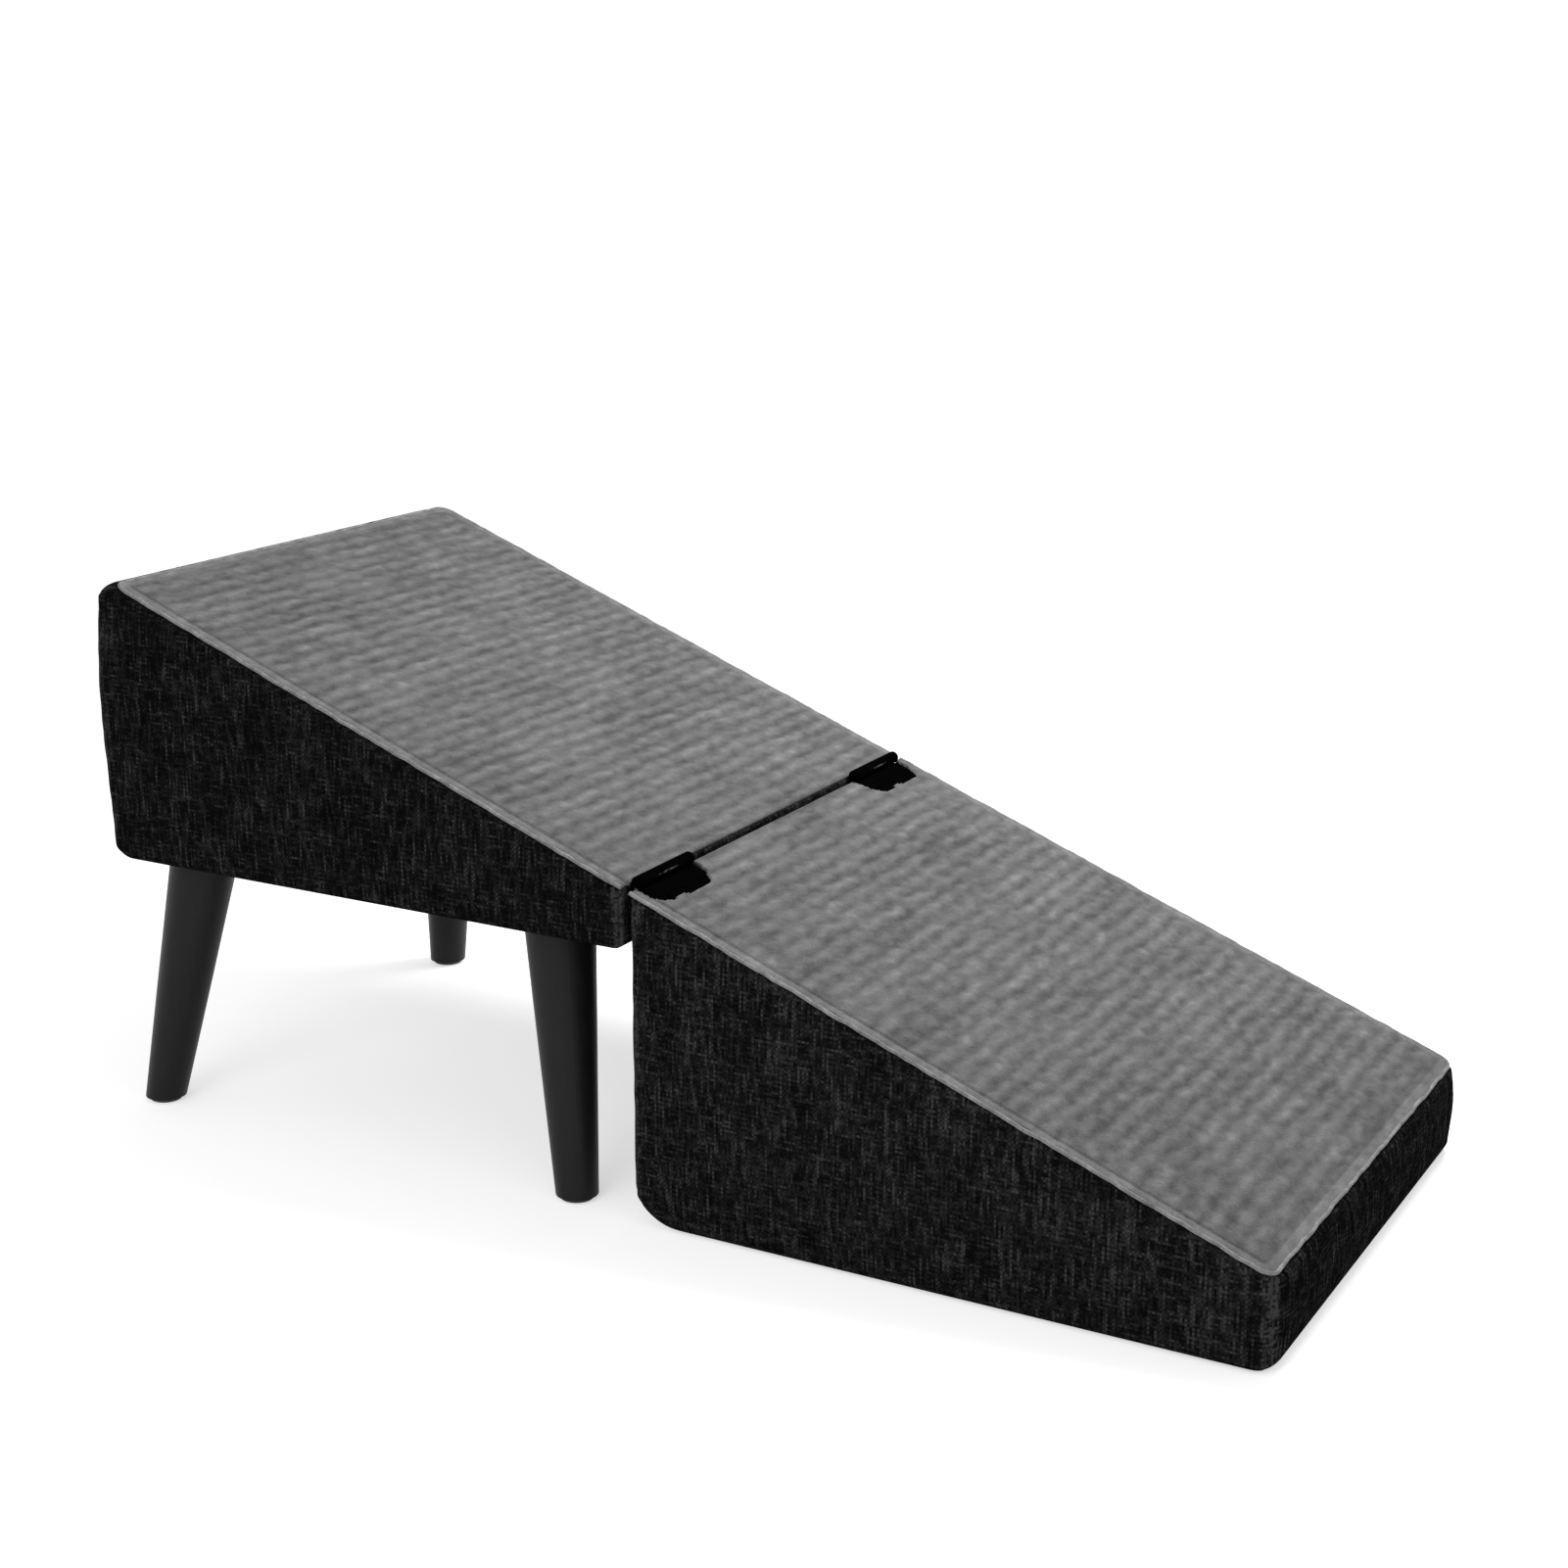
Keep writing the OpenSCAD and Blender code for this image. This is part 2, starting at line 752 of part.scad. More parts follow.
// A leaf with its plate hanging square to the pin: the plate runs to x = leaf_w, under the pin
module leaf(first) {
    color([0.03, 0.03, 0.032])
        difference() {
            union() {
                difference() {
                    translate([0, -hinge_length / 2, -knuckle_r - hinge_clearance])
                        cube([leaf_w, hinge_length, leaf_t]);
                    knuckles(1 - first, hinge_clearance);
                }
                knuckles(first, 0);
            }
            along_pin(pin_d / 2 + pin_clearance, -far, far);
            leaf_screw_places()
                screw_hole();
        }
}

// The upper leaf hangs down the joint face and the lower leaf lies along the slope
upper_leaf_angle = 90;
lower_leaf_angle = ramp_angle;

module hinge_upper_leaf(side) {
    on_pin(side, upper_leaf_angle)
        leaf(0);
}

module hinge_lower_leaf(side) {
    on_pin(side, lower_leaf_angle)
        leaf(1);
}

// Where the screws of a leaf start, with +z going into the wood
module leaf_screw_places() {
    for (i = [-1:1])
        translate([leaf_screw_line, i * leaf_screw_pitch, leaf_t - knuckle_r - hinge_clearance])
            rotate([180, 0, 0])
                children();
}

module leaf_screw_shanks(angle) {
    for (side = [left, right])
        on_pin(side, angle)
            leaf_screw_places()
                cylinder(r = screw_d / 2 + hole_clearance, h = hinge_screw_l + hole_clearance);
}

module hinge_screws(side, angle) {
    color([0.05, 0.05, 0.055])
        on_pin(side, angle)
            leaf_screw_places()
                screw(hinge_screw_l);
}

// Pin with a flat head at each end of the barrel
module hinge_pin(side) {
    color([0.12, 0.12, 0.13])
        on_pin(side) {
            along_pin(pin_d / 2, -hinge_length / 2, hinge_length / 2);
            for (end = [-1, 1])
                along_pin(
                    pin_head_d / 2,
                    end * hinge_length / 2 + (end < 0 ? -pin_head_t : 0),
                    end * hinge_length / 2 + (end < 0 ? 0 : pin_head_t)
                );
        }
}

// Cut through the lower tread round a hinge
module hinge_notch(side) {
    w = hinge_length + 2 * (pin_head_t + notch_margin);
    on_pin(side, lower_leaf_angle)
        translate([-far, -w / 2, -far])
            cube([far + leaf_w + notch_margin, w, 2 * far]);
}

// ---- Assembly ----
cover(UPPER);  // upper_cover
padding(UPPER);  // upper_padding
upper_tread();
upper_tread_binding();
deck_board(UPPER);  // upper_deck_board
base_board(UPPER);  // upper_base_board
side_panel(UPPER, left);  // upper_side_panel_left
side_panel(UPPER, right);  // upper_side_panel_right
upper_end_panel();
upper_hinge_rail();
cross_panel(UPPER);  // upper_cross_panel
upper_corner_blocks();
upper_dust_cloth();
leg_plate(rear, left);  // leg_plate_rear_left
leg_plate(rear, right);  // leg_plate_rear_right
leg_plate(front, left);  // leg_plate_front_left
leg_plate(front, right);  // leg_plate_front_right
leg(rear, left);  // leg_rear_left
leg(rear, right);  // leg_rear_right
leg(front, left);  // leg_front_left
leg(front, right);  // leg_front_right
leg_bolt(rear, left);  // leg_bolt_rear_left
leg_bolt(rear, right);  // leg_bolt_rear_right
leg_bolt(front, left);  // leg_bolt_front_left
leg_bolt(front, right);  // leg_bolt_front_right
leg_glide(rear, left);  // leg_glide_rear_left
leg_glide(rear, right);  // leg_glide_rear_right
leg_glide(front, left);  // leg_glide_front_left
leg_glide(front, right);  // leg_glide_front_right
leg_plate_screws();
hinge_upper_leaf(left);  // hinge_left_upper_leaf
hinge_upper_leaf(right);  // hinge_right_upper_leaf
hinge_pin(left);  // hinge_left_pin
hinge_pin(right);  // hinge_right_pin
hinge_screws(left, upper_leaf_angle);  // hinge_left_upper_screws
hinge_screws(right, upper_leaf_angle);  // hinge_right_upper_screws
cover(LOWER);  // lower_cover
padding(LOWER);  // lower_padding
lower_tread();
lower_tread_binding();
deck_board(LOWER);  // lower_deck_board
base_board(LOWER);  // lower_base_board
side_panel(LOWER, left);  // lower_side_panel_left
side_panel(LOWER, right);  // lower_side_panel_right
lower_end_panel();
lower_hinge_rail();
lower_toe_rail();
cross_panel(LOWER);  // lower_cross_panel
lower_grip_cloth();
hinge_lower_leaf(left);  // hinge_left_lower_leaf
hinge_lower_leaf(right);  // hinge_right_lower_leaf
hinge_screws(left, lower_leaf_angle);  // hinge_left_lower_screws
hinge_screws(right, lower_leaf_angle);  // hinge_right_lower_screws
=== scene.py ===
# %% [markdown]
# # A folding dog ramp that closes into an ottoman
#
# The ramp is two upholstered wedges joined by a pair of hinges. Its frame, legs and hinges come
# ready made from the solid model, to the right size. This lesson dresses them: it sews the linen
# covers, weaves the ribbed treads, binds and stitches their edges, closes the undersides and gives
# every part its finish. Everything is in metres, and each place is measured on the solid model.

# %% Load the solid model
import math

import bmesh
import bpy
import numpy as np
from mathutils import Matrix, Vector


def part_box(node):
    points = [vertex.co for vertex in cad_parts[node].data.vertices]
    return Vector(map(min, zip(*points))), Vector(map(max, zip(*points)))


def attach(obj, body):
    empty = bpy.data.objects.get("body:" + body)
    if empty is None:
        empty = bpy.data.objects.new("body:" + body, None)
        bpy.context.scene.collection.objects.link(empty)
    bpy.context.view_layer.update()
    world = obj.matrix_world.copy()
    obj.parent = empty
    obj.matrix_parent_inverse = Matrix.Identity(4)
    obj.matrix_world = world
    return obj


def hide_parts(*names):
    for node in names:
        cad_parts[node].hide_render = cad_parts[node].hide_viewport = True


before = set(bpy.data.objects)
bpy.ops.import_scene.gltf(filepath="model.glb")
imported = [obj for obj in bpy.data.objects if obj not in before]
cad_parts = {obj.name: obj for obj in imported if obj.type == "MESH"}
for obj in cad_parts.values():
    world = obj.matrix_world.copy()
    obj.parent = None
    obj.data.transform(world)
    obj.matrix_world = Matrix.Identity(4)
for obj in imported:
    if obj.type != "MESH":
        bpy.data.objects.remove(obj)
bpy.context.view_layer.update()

MM = 0.001

# %% [markdown]
# ## The camera first
#
# A camera is an empty view until it has a place, a direction and a lens. This one stands two steps
# away at the low end, looks down on the treads, and has a lens a little longer than the eye's.

# %% The camera
camera_data = bpy.data.cameras.new("camera")
camera_data.lens = 59.46
camera = bpy.data.objects.new("camera", camera_data)
camera.location = (0.8735, -1.5591, 0.7485)
camera.rotation_euler = (math.radians(74.726), 0, math.radians(29.010))
bpy.context.scene.collection.objects.link(camera)
bpy.context.scene.camera = camera
print("camera at", tuple(round(v, 3) for v in camera.location))

# %% [markdown]
# ## Writing sums as nodes
#
# A node tree is a sum drawn as boxes and wires. `Wire` stands for one number on its way through a
# tree, so that a rib or a thread can be written as on paper, and the boxes appear by themselves.
# The same class serves geometry and materials, because both know the Math node.

# %% Wires: numbers that run through a node tree
class Wire:
    def __init__(self, tree, socket):
        self.tree = tree
        self.socket = socket

    def math(self, operation, *others):
        node = self.tree.nodes.new("ShaderNodeMath")
        node.operation = operation
        for place, item in zip(node.inputs, (self, *others)):
            plug(self.tree, item, place)
        return Wire(self.tree, node.outputs[0])

    def __add__(self, other):
        return self.math("ADD", other)

    def __sub__(self, other):
        return self.math("SUBTRACT", other)

    def __mul__(self, other):
        return self.math("MULTIPLY", other)

    def __truediv__(self, other):
        return self.math("DIVIDE", other)

    def __pow__(self, other):
        return self.math("POWER", other)

    def __neg__(self):
        return self.math("MULTIPLY", -1.0)

    def __rsub__(self, other):
        return -self + other

    __radd__ = __add__
    __rmul__ = __mul__


def plug(tree, item, place):
    """Puts a wire, a socket or a plain value into an input."""
    if isinstance(item, Wire):
        item = item.socket
    if isinstance(item, bpy.types.NodeSocket):
        tree.links.new(item, place)
    else:
        place.default_value = item


def add(tree, kind, inputs=None, **settings):
    """Adds a node with its settings, and fills its inputs by name or number."""
    node = tree.nodes.new(kind)
    for name, value in settings.items():
        setattr(node, name, value)
    for name, item in (inputs or {}).items():
        plug(tree, item, node.inputs[name])
    return node


def out(tree, kind, inputs=None, output=0, **settings):
    """Adds a node and gives one of its outputs as a wire."""
    return Wire(tree, add(tree, kind, inputs, **settings).outputs[output])


def joined(tree, **parts):
    """Joins numbers into a vector, by the names X, Y and Z."""
    return out(tree, "ShaderNodeCombineXYZ", parts)


def split(tree, vector):
    """The three numbers of a vector, as wires."""
    return [Wire(tree, part) for part in add(tree, "ShaderNodeSeparateXYZ", {0: vector}).outputs]


def smooth_step(value, low, high):
    return out(
        value.tree,
        "ShaderNodeMapRange",
        {"Value": value, "From Min": low, "From Max": high},
        interpolation_type="SMOOTHSTEP",
    )


# %% [markdown]
# ## A tree, and what grows from it
#
# Geometry Nodes make what repeats: ribs, stitches, staples and dots. `new_tree` opens a tree whose
# sizes are named inputs. `grow` hangs it on a mesh, sets those inputs by their identifiers and
# takes the result off as a plain mesh, so that nothing is left to compute later.

# %% Opening and growing geometry trees
SOCKETS = {float: "NodeSocketFloat", int: "NodeSocketInt", bpy.types.Material: "NodeSocketMaterial"}


def new_tree(name, **sizes):
    """A geometry tree with one named input per size. Gives the tree and its inputs as wires."""
    tree = bpy.data.node_groups.new(name, "GeometryNodeTree")
    tree.interface.new_socket("Geometry", in_out="INPUT", socket_type="NodeSocketGeometry")
    tree.interface.new_socket("Geometry", in_out="OUTPUT", socket_type="NodeSocketGeometry")
    for label, kind in sizes.items():
        tree.interface.new_socket(label, in_out="INPUT", socket_type=SOCKETS[kind])
    entry = tree.nodes.new("NodeGroupInput")
    return tree, {socket.name: Wire(tree, socket) for socket in entry.outputs if socket.name}


def close_tree(tree, geometry, material):
    """Ends a tree in Realize Instances and Set Material."""
    real = add(tree, "GeometryNodeRealizeInstances", {"Geometry": geometry})
    painted = add(tree, "GeometryNodeSetMaterial", {"Geometry": real.outputs[0], "Material": material})
    add(tree, "NodeGroupOutput", {0: painted.outputs[0]})


def computed(made):
    """What an object's modifiers make, as a plain mesh."""
    graph = bpy.context.evaluated_depsgraph_get()
    return bpy.data.meshes.new_from_object(
        made.evaluated_get(graph), preserve_all_data_layers=True, depsgraph=graph
    )


def grow(tree, host_mesh, **sizes):
    """Runs a tree on a mesh and gives the result as a plain mesh."""
    host = bpy.data.objects.new("host", host_mesh)
    bpy.context.scene.collection.objects.link(host)
    modifier = host.modifiers.new("tree", "NODES")
    modifier.node_group = tree
    for item in tree.interface.items_tree:
        if item.in_out == "INPUT" and item.name in sizes:
            modifier[item.identifier] = sizes[item.name]
    mesh = computed(host)
    bpy.data.objects.remove(host)
    return mesh


def mesh_of(name, points, faces=(), edges=()):
    mesh = bpy.data.meshes.new(name)
    mesh.from_pydata([tuple(p) for p in points], [tuple(e) for e in edges], [tuple(f) for f in faces])
    mesh.update()
    return mesh


def piece(name, mesh, body):
    """A finished piece: its object at the origin, riding on a body."""
    mesh.name = name
    made = bpy.data.objects.new(name, mesh)
    bpy.context.scene.collection.objects.link(made)
    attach(made, body)
    print(f"{name}: {len(mesh.vertices)} points, {len(mesh.polygons)} faces")
    return made


# %% [markdown]
# ### Thickness and closed edges
#
# Cloth is made as a bare surface, because a surface is easier to bend, and gets its thickness last.
# A surface that was cut out of a grid has open edges, so these are closed with triangles.

# %% Thickness and closed edges
def bake_modifiers(made):
    """Swaps an object's mesh for what its modifiers make of it."""
    mesh = computed(made)
    mesh.name = made.name
    made.modifiers.clear()
    made.data = mesh


def thicken(made, thickness, offset):
    """Gives a cloth its thickness: inwards at an offset of -1, to both sides at 0."""
    wall = made.modifiers.new("thickness", "SOLIDIFY")
    wall.thickness = thickness
    wall.offset = offset
    bake_modifiers(made)


def fill_holes(mesh, at_rim):
    """Closes the holes of a mesh whose rims pass a test."""
    bm = bmesh.new()
    bm.from_mesh(mesh)
    rims = [edge for edge in bm.edges if edge.is_boundary and at_rim(edge)]
    filled = bmesh.ops.holes_fill(bm, edges=rims, sides=0)["faces"]
    bmesh.ops.triangulate(bm, faces=filled)
    bm.to_mesh(mesh)
    bm.free()


# %% [markdown]
# ## Finishes
#
# A finish is a colour that varies, a roughness and a bump. On cloth the pattern has to follow the
# weave, so it reads the piece's own UV map, which is laid out in metres. On wood, steel and foam it
# reads Object coordinates. A number that is the same all over goes straight on the shader.

# %% Helpers for finishes
FINISHES = {}


def keep_finish(slot, material):
    """Keeps a finish for every piece of its slot."""
    FINISHES[slot] = material
    print("finish for", slot, "made of", len(material.node_tree.nodes), "nodes")


def new_finish(name, **constants):
    """A material with constants on its shader's inputs. Gives the material, tree and shader."""
    material = bpy.data.materials.new(name)
    material.use_nodes = True
    tree = material.node_tree
    shader = tree.nodes["Principled BSDF"]
    for label, value in constants.items():
        shader.inputs[label.replace("_", " ")].default_value = value
    return material, tree, shader


def place(tree, uv=None):
    """Where a point is: on the piece's UV map in metres, or in the object."""
    if uv:
        return add(tree, "ShaderNodeUVMap", uv_map=uv).outputs["UV"]
    return add(tree, "ShaderNodeTexCoord").outputs["Object"]


def noise(tree, where, per_metre, detail=2.0, roughness=0.5):
    """Noise with so many spots in a metre along each direction."""
    if not hasattr(per_metre, "__len__"):
        per_metre = (per_metre,) * 3
    mapped = add(tree, "ShaderNodeMapping", {"Vector": where, "Scale": per_metre})
    return out(
        tree,
        "ShaderNodeTexNoise",
        {"Vector": mapped.outputs[0], "Scale": 1.0, "Detail": detail, "Roughness": roughness},
    )


def paint(tree, shader, amount, *stops):
    """Colours a finish along an amount, from (place, colour) pairs. A grey is a single number."""
    ramp = add(tree, "ShaderNodeValToRGB", {"Fac": amount})
    elements = ramp.color_ramp.elements
    while len(elements) < len(stops):
        elements.new(0.5)
    for element, (position, colour) in zip(elements, stops):
        element.position = position
        if not hasattr(colour, "__len__"):
            colour = (colour,) * 3
        element.color = (*colour, 1)
    plug(tree, ramp.outputs["Color"], shader.inputs["Base Color"])


def relief(tree, shader, height, depth, strength=1.0):
    """Raises the surface by an amount of 0 to 1, so many metres deep."""
    bump = add(tree, "ShaderNodeBump", {"Height": height, "Distance": depth, "Strength": strength})
    plug(tree, bump.outputs[0], shader.inputs["Normal"])


def grained_finish(name, roughness, per_metre, detail, stops, depth, strength, mottled=0.5):
    """A finish in which one noise gives both the colour and the bump."""
    material, tree, shader = new_finish(name, Roughness=roughness)
    grain = noise(tree, place(tree), per_metre, detail=detail, roughness=mottled)
    paint(tree, shader, grain, *stops)
    relief(tree, shader, grain, depth, strength)
    return material


# %% [markdown]
# ### Linen
#
# The covers are a linen look: near-black yarn with paler, thicker stretches, called slubs. The UV
# map is split into threads, upright ones and lying ones, by rounding down. Each thread has its own
# noise along its length, and the threads take turns to lie on top, as in a plain weave. Beside a
# corner seam a pale band is painted on as a highlight: the cover carries an attribute that says where.

# %% Linen finish
THREAD_W = 1.6 * MM


def linen_finish():
    material, tree, shader = new_finish("linen", Roughness=0.95, Specular_IOR_Level=0.0)
    cloth = place(tree, uv="cloth")
    across, up = (part / THREAD_W for part in split(tree, cloth)[:2])
    column, row = across.math("FLOOR"), up.math("FLOOR")

    def slubs(thread, along, seed):
        spot = joined(tree, X=thread * 3.7, Y=along, Z=seed)
        return out(tree, "ShaderNodeTexNoise", {"Vector": spot, "Scale": 1.0, "Detail": 1.5})

    warp = slubs(column, up * 0.11, 2.5)
    weft = slubs(row, across * 0.17, 8.5)
    warp_on_top = (column + row).math("MODULO", 2.0).math("ABSOLUTE")
    woven = (warp * (0.84 + warp_on_top * 0.16)).math("MAXIMUM", weft * (0.94 - warp_on_top * 0.14))
    patches = noise(tree, cloth, (30, 22, 1), detail=2)
    # The seam attribute places a painted highlight beside each corner seam, broken up by noise.
    seam = out(tree, "ShaderNodeAttribute", attribute_name="seam", output="Fac")
    seam_highlight_noise = noise(tree, cloth, (500, 260, 1), detail=3)
    amount = woven + (patches - 0.5) * 0.16 + seam * (seam_highlight_noise - 0.22) * 0.75
    paint(
        tree, shader, amount,
        (0.40, (0.0036, 0.0036, 0.0037)), (0.50, (0.0076, 0.0076, 0.0078)),
        (0.62, (0.020, 0.020, 0.021)), (0.74, (0.050, 0.050, 0.052)),
    )
    round_warp = (across * math.pi).math("SINE").math("ABSOLUTE")
    round_weft = (up * math.pi).math("SINE").math("ABSOLUTE")
    threads = round_warp * warp_on_top + round_weft * (1 - warp_on_top)
    relief(tree, shader, threads * 0.5 + woven, 0.3 * MM, 0.7)
    return material


keep_finish("linen", linen_finish())

# %% [markdown]
# ### The pile of the treads
#
# The treads are a looped pile in ribs. Their ribs and knobs are real geometry, made further on. The
# finish darkens the valleys, where less light falls between the loops, and adds the loops
# themselves as a fine bump. Sheen gives the pale edge that pile shows against the light.

# %% Tread finish
def tread_finish():
    material, tree, shader = new_finish(
        "tread", Roughness=0.95, Specular_IOR_Level=0.2, Sheen_Weight=0.2, Sheen_Roughness=0.5,
    )
    spot = place(tree)
    # crest carries painted shade from the pile tree: valleys, hem groove and free edge darker.
    crest = out(tree, "ShaderNodeAttribute", attribute_name="crest", output="Fac")
    knobs = noise(tree, spot, (150, 75, 150), detail=3)
    loops = noise(tree, spot, 700, detail=2)
    shade = noise(tree, spot, (22, 12, 22), detail=2)
    amount = crest * 0.5 + (knobs - 0.2) * 0.6 + (loops - 0.5) * 0.3 + (shade - 0.5) * 0.4
    paint(tree, shader, amount, (0.08, 0.042), (0.48, 0.137), (0.88, 0.272))
    relief(tree, shader, loops + knobs * 0.4, 0.9 * MM, 0.7)
    return material


keep_finish("tread", tread_finish())

# %% [markdown]
# ### Binding and thread
#
# The sleeve of the piping is a soft cloth, paler than the pile. The stitches belong to it, but the
# thread is darker, so it has a finish of its own.

# %% Binding and thread finishes
def binding_finish():
    """A soft woven sleeve, paler than the pile."""
    material, tree, shader = new_finish("binding", Roughness=0.9, Specular_IOR_Level=0.2)
    spot = place(tree)
    fuzz = noise(tree, spot, 520, detail=3)
    clouds = noise(tree, spot, 110, detail=2)
    paint(tree, shader, fuzz * 0.4 + clouds * 0.6, (0.3, 0.13), (0.5, 0.23), (0.7, 0.35))
    relief(tree, shader, fuzz + clouds * 0.5, 0.5 * MM, 0.7)
    return material


def thread_finish():
    stops = (0.3, 0.07), (0.7, 0.13)
    return grained_finish("stitching_thread", 0.7, 1200, 1, stops, 0.1 * MM, 0.5)


keep_finish("binding", binding_finish())
THREAD = thread_finish()

# %% [markdown]
# ### Wood, board and foam
#
# The turned legs wear a satin black paint, under which the grain still shows as a faint relief.
# Board, pine and foam are inside, and show only when somebody opens the ramp up.

# %% Leg, board, pine and foam finishes
def leg_finish():
    material, tree, shader = new_finish("leg", Specular_IOR_Level=0.15)
    spot = place(tree)
    grain = noise(tree, spot, (420, 420, 22), detail=4)
    marks = noise(tree, spot, (60, 60, 38), detail=6, roughness=0.7)
    paint(tree, shader, grain * 0.4 + marks * 0.6, (0.35, 0.0085), (0.62, 0.0125), (0.74, 0.024))
    plug(tree, 0.34 + marks * 0.2, shader.inputs["Roughness"])
    relief(tree, shader, grain, 0.12 * MM, 0.5)
    return material


def board_finish():
    material, tree, shader = new_finish("mdf", Roughness=0.8)
    spot = place(tree)
    fibres = noise(tree, spot, 900, detail=3)
    clouds = noise(tree, spot, 30, detail=2)
    stops = (0.3, (0.38, 0.26, 0.15)), (0.7, (0.60, 0.45, 0.29))
    paint(tree, shader, fibres * 0.6 + clouds * 0.4, *stops)
    relief(tree, shader, fibres, 0.1 * MM, 0.4)
    return material


def pine_finish():
    stops = (0.35, (0.50, 0.33, 0.16)), (0.6, (0.75, 0.57, 0.34))
    return grained_finish("pine", 0.6, (260, 14, 260), 5, stops, 0.2 * MM, 0.4, mottled=0.6)


def foam_finish():
    material, tree, shader = new_finish("foam", Roughness=0.95)
    cells = out(tree, "ShaderNodeTexVoronoi", {"Vector": place(tree), "Scale": 900.0})
    paint(tree, shader, cells, (0.1, (0.60, 0.56, 0.44)), (0.6, (0.85, 0.82, 0.72)))
    relief(tree, shader, cells, 0.6 * MM, 0.6)
    return material


keep_finish("leg", leg_finish())
keep_finish("mdf", board_finish())
keep_finish("pine", pine_finish())
keep_finish("foam", foam_finish())

# %% [markdown]
# ### Steel, plastic and the cloths underneath
#
# Plates, bolts and their screws are bright zinc, and the hinges are black. A highlight is painted
# on each barrel, so the finish finds the barrels by their distance from the pin line.

# %% Steel, plastic and underside cloth finishes
# Where the painted highlight sits on the hinge barrels: its angle, spread and half length.
BARREL_REACH = 5 * MM
HIGHLIGHT_MIDDLE = math.radians(14)
HIGHLIGHT_SPREAD = math.radians(9)
HIGHLIGHT_HALF_LENGTH = 12 * MM


def black_steel_finish():
    """Black coating on steel, with a painted highlight along the side of the barrels that faces the low
    end.
    """
    material, tree, shader = new_finish("black_steel", Specular_IOR_Level=0.0)
    spot = place(tree)
    coat_noise = noise(tree, spot, 240, detail=5, roughness=0.7)
    x, y, z = split(tree, spot)
    pin_low, pin_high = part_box("hinge_right_pin")
    off_x = x - (pin_low.x + pin_high.x) / 2
    off_z = z - (pin_low.z + pin_high.z) / 2
    on_barrel = (off_x * off_x + off_z * off_z).math("SQRT").math("LESS_THAN", BARREL_REACH)
    # Painted highlight: a pale stripe along the lower side of each barrel, where light would glint.
    turn = (off_z.math("ARCTAN2", off_x) - HIGHLIGHT_MIDDLE) / HIGHLIGHT_SPREAD
    off_middle = (y.math("ABSOLUTE") - (pin_low.y + pin_high.y) / 2) / HIGHLIGHT_HALF_LENGTH
    highlight_band = (-(turn * turn) - off_middle * off_middle).math("EXPONENT")
    painted_highlight = highlight_band * on_barrel * smooth_step(coat_noise, 0.38, 0.5)
    paint(tree, shader, coat_noise * 0.3 + painted_highlight * 0.7, (0.15, 0.0012), (0.3, 0.0025), (0.9, 0.09))
    plug(tree, 0.25 + coat_noise * 0.25, shader.inputs["Roughness"])
    relief(tree, shader, coat_noise, 0.06 * MM, 0.4)
    return material


def zinc_finish():
    material, tree, shader = new_finish("zinc_steel", Metallic=1.0)
    spangle = noise(tree, place(tree), 380, detail=3)
    paint(tree, shader, spangle, (0.3, 0.45), (0.7, 0.68))
    plug(tree, 0.25 + spangle * 0.25, shader.inputs["Roughness"])
    return material


def glide_finish():
    return grained_finish("glide", 0.55, 420, 4, ((0.4, 0.03), (0.75, 0.085)), 0.08 * MM, 0.4)


def dust_cloth_finish():
    """Non-woven cloth: fibres pressed together under a grid of small round dents."""
    material, tree, shader = new_finish("dust_cloth", Roughness=0.9)
    spot = place(tree)
    fibres = noise(tree, spot, 700, detail=5, roughness=0.75)
    dents = out(tree, "ShaderNodeTexVoronoi", {"Vector": spot, "Scale": 480.0, "Randomness": 0.15})
    paint(tree, shader, fibres, (0.35, 0.008), (0.7, 0.028))
    relief(tree, shader, fibres * 0.4 + dents, 0.3 * MM, 0.5)
    return material


def grip_cloth_finish():
    return grained_finish("grip_cloth", 0.8, 900, 3, ((0.35, 0.02), (0.7, 0.05)), 0.2 * MM, 0.5)


keep_finish("black_steel", black_steel_finish())
keep_finish("zinc_steel", zinc_finish())
keep_finish("glide", glide_finish())
keep_finish("dust_cloth", dust_cloth_finish())
keep_finish("grip_cloth", grip_cloth_finish())

# %% [markdown]
# ### The pieces that the solid model already has right
#
# Legs, plates, screws, hinges, boards and rails need nothing but their finish. Their shapes are
# exact already, so each keeps its shape and takes the finish of its slot.

# %% Paint the pieces of the solid model
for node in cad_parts.values():
    for holder in node.material_slots:
        holder.material = FINISHES[holder.material.name.split(".")[0]]
print("painted", len(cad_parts), "nodes with", len(FINISHES), "finishes")

# %% [markdown]
# ## Measuring the slope
#
# The decks give the direction of the walking surface. From it come three directions that the
# treads are laid out in: down the slope, across it, and square to it. A level is a distance along
# the last one. The treads lie between the level of the covers and the level of the ribs' tops.

# %% The slope and its levels
def points_of(node):
    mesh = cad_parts[node].data
    points = np.empty(len(mesh.vertices) * 3)
    mesh.vertices.foreach_get("co", points)
    return points.reshape(-1, 3)


deck_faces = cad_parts["upper_deck_board"].data.polygons
deck_top = max(
    (face for face in deck_faces if face.normal.z > 0.5 and face.normal.x > 0.1),
    key=lambda face: face.area,
)
square = np.array(deck_top.normal)
square[1] = 0
square /= np.linalg.norm(square)
down = np.array([square[2], 0, -square[0]])
cover_level = (points_of("upper_cover") @ square).max()
rib_level = (points_of("upper_tread") @ square).max()
lay_on_slope = Matrix((
    (down[0], 0, square[0], square[0] * cover_level),
    (0, 1, 0, 0),
    (down[2], 0, square[2], square[2] * cover_level),
    (0, 0, 0, 1),
))
SLOPE = math.asin(square[0])
print(f"slope {math.degrees(SLOPE):.2f} degrees, treads {(rib_level - cover_level) / MM:.2f} mm thick")

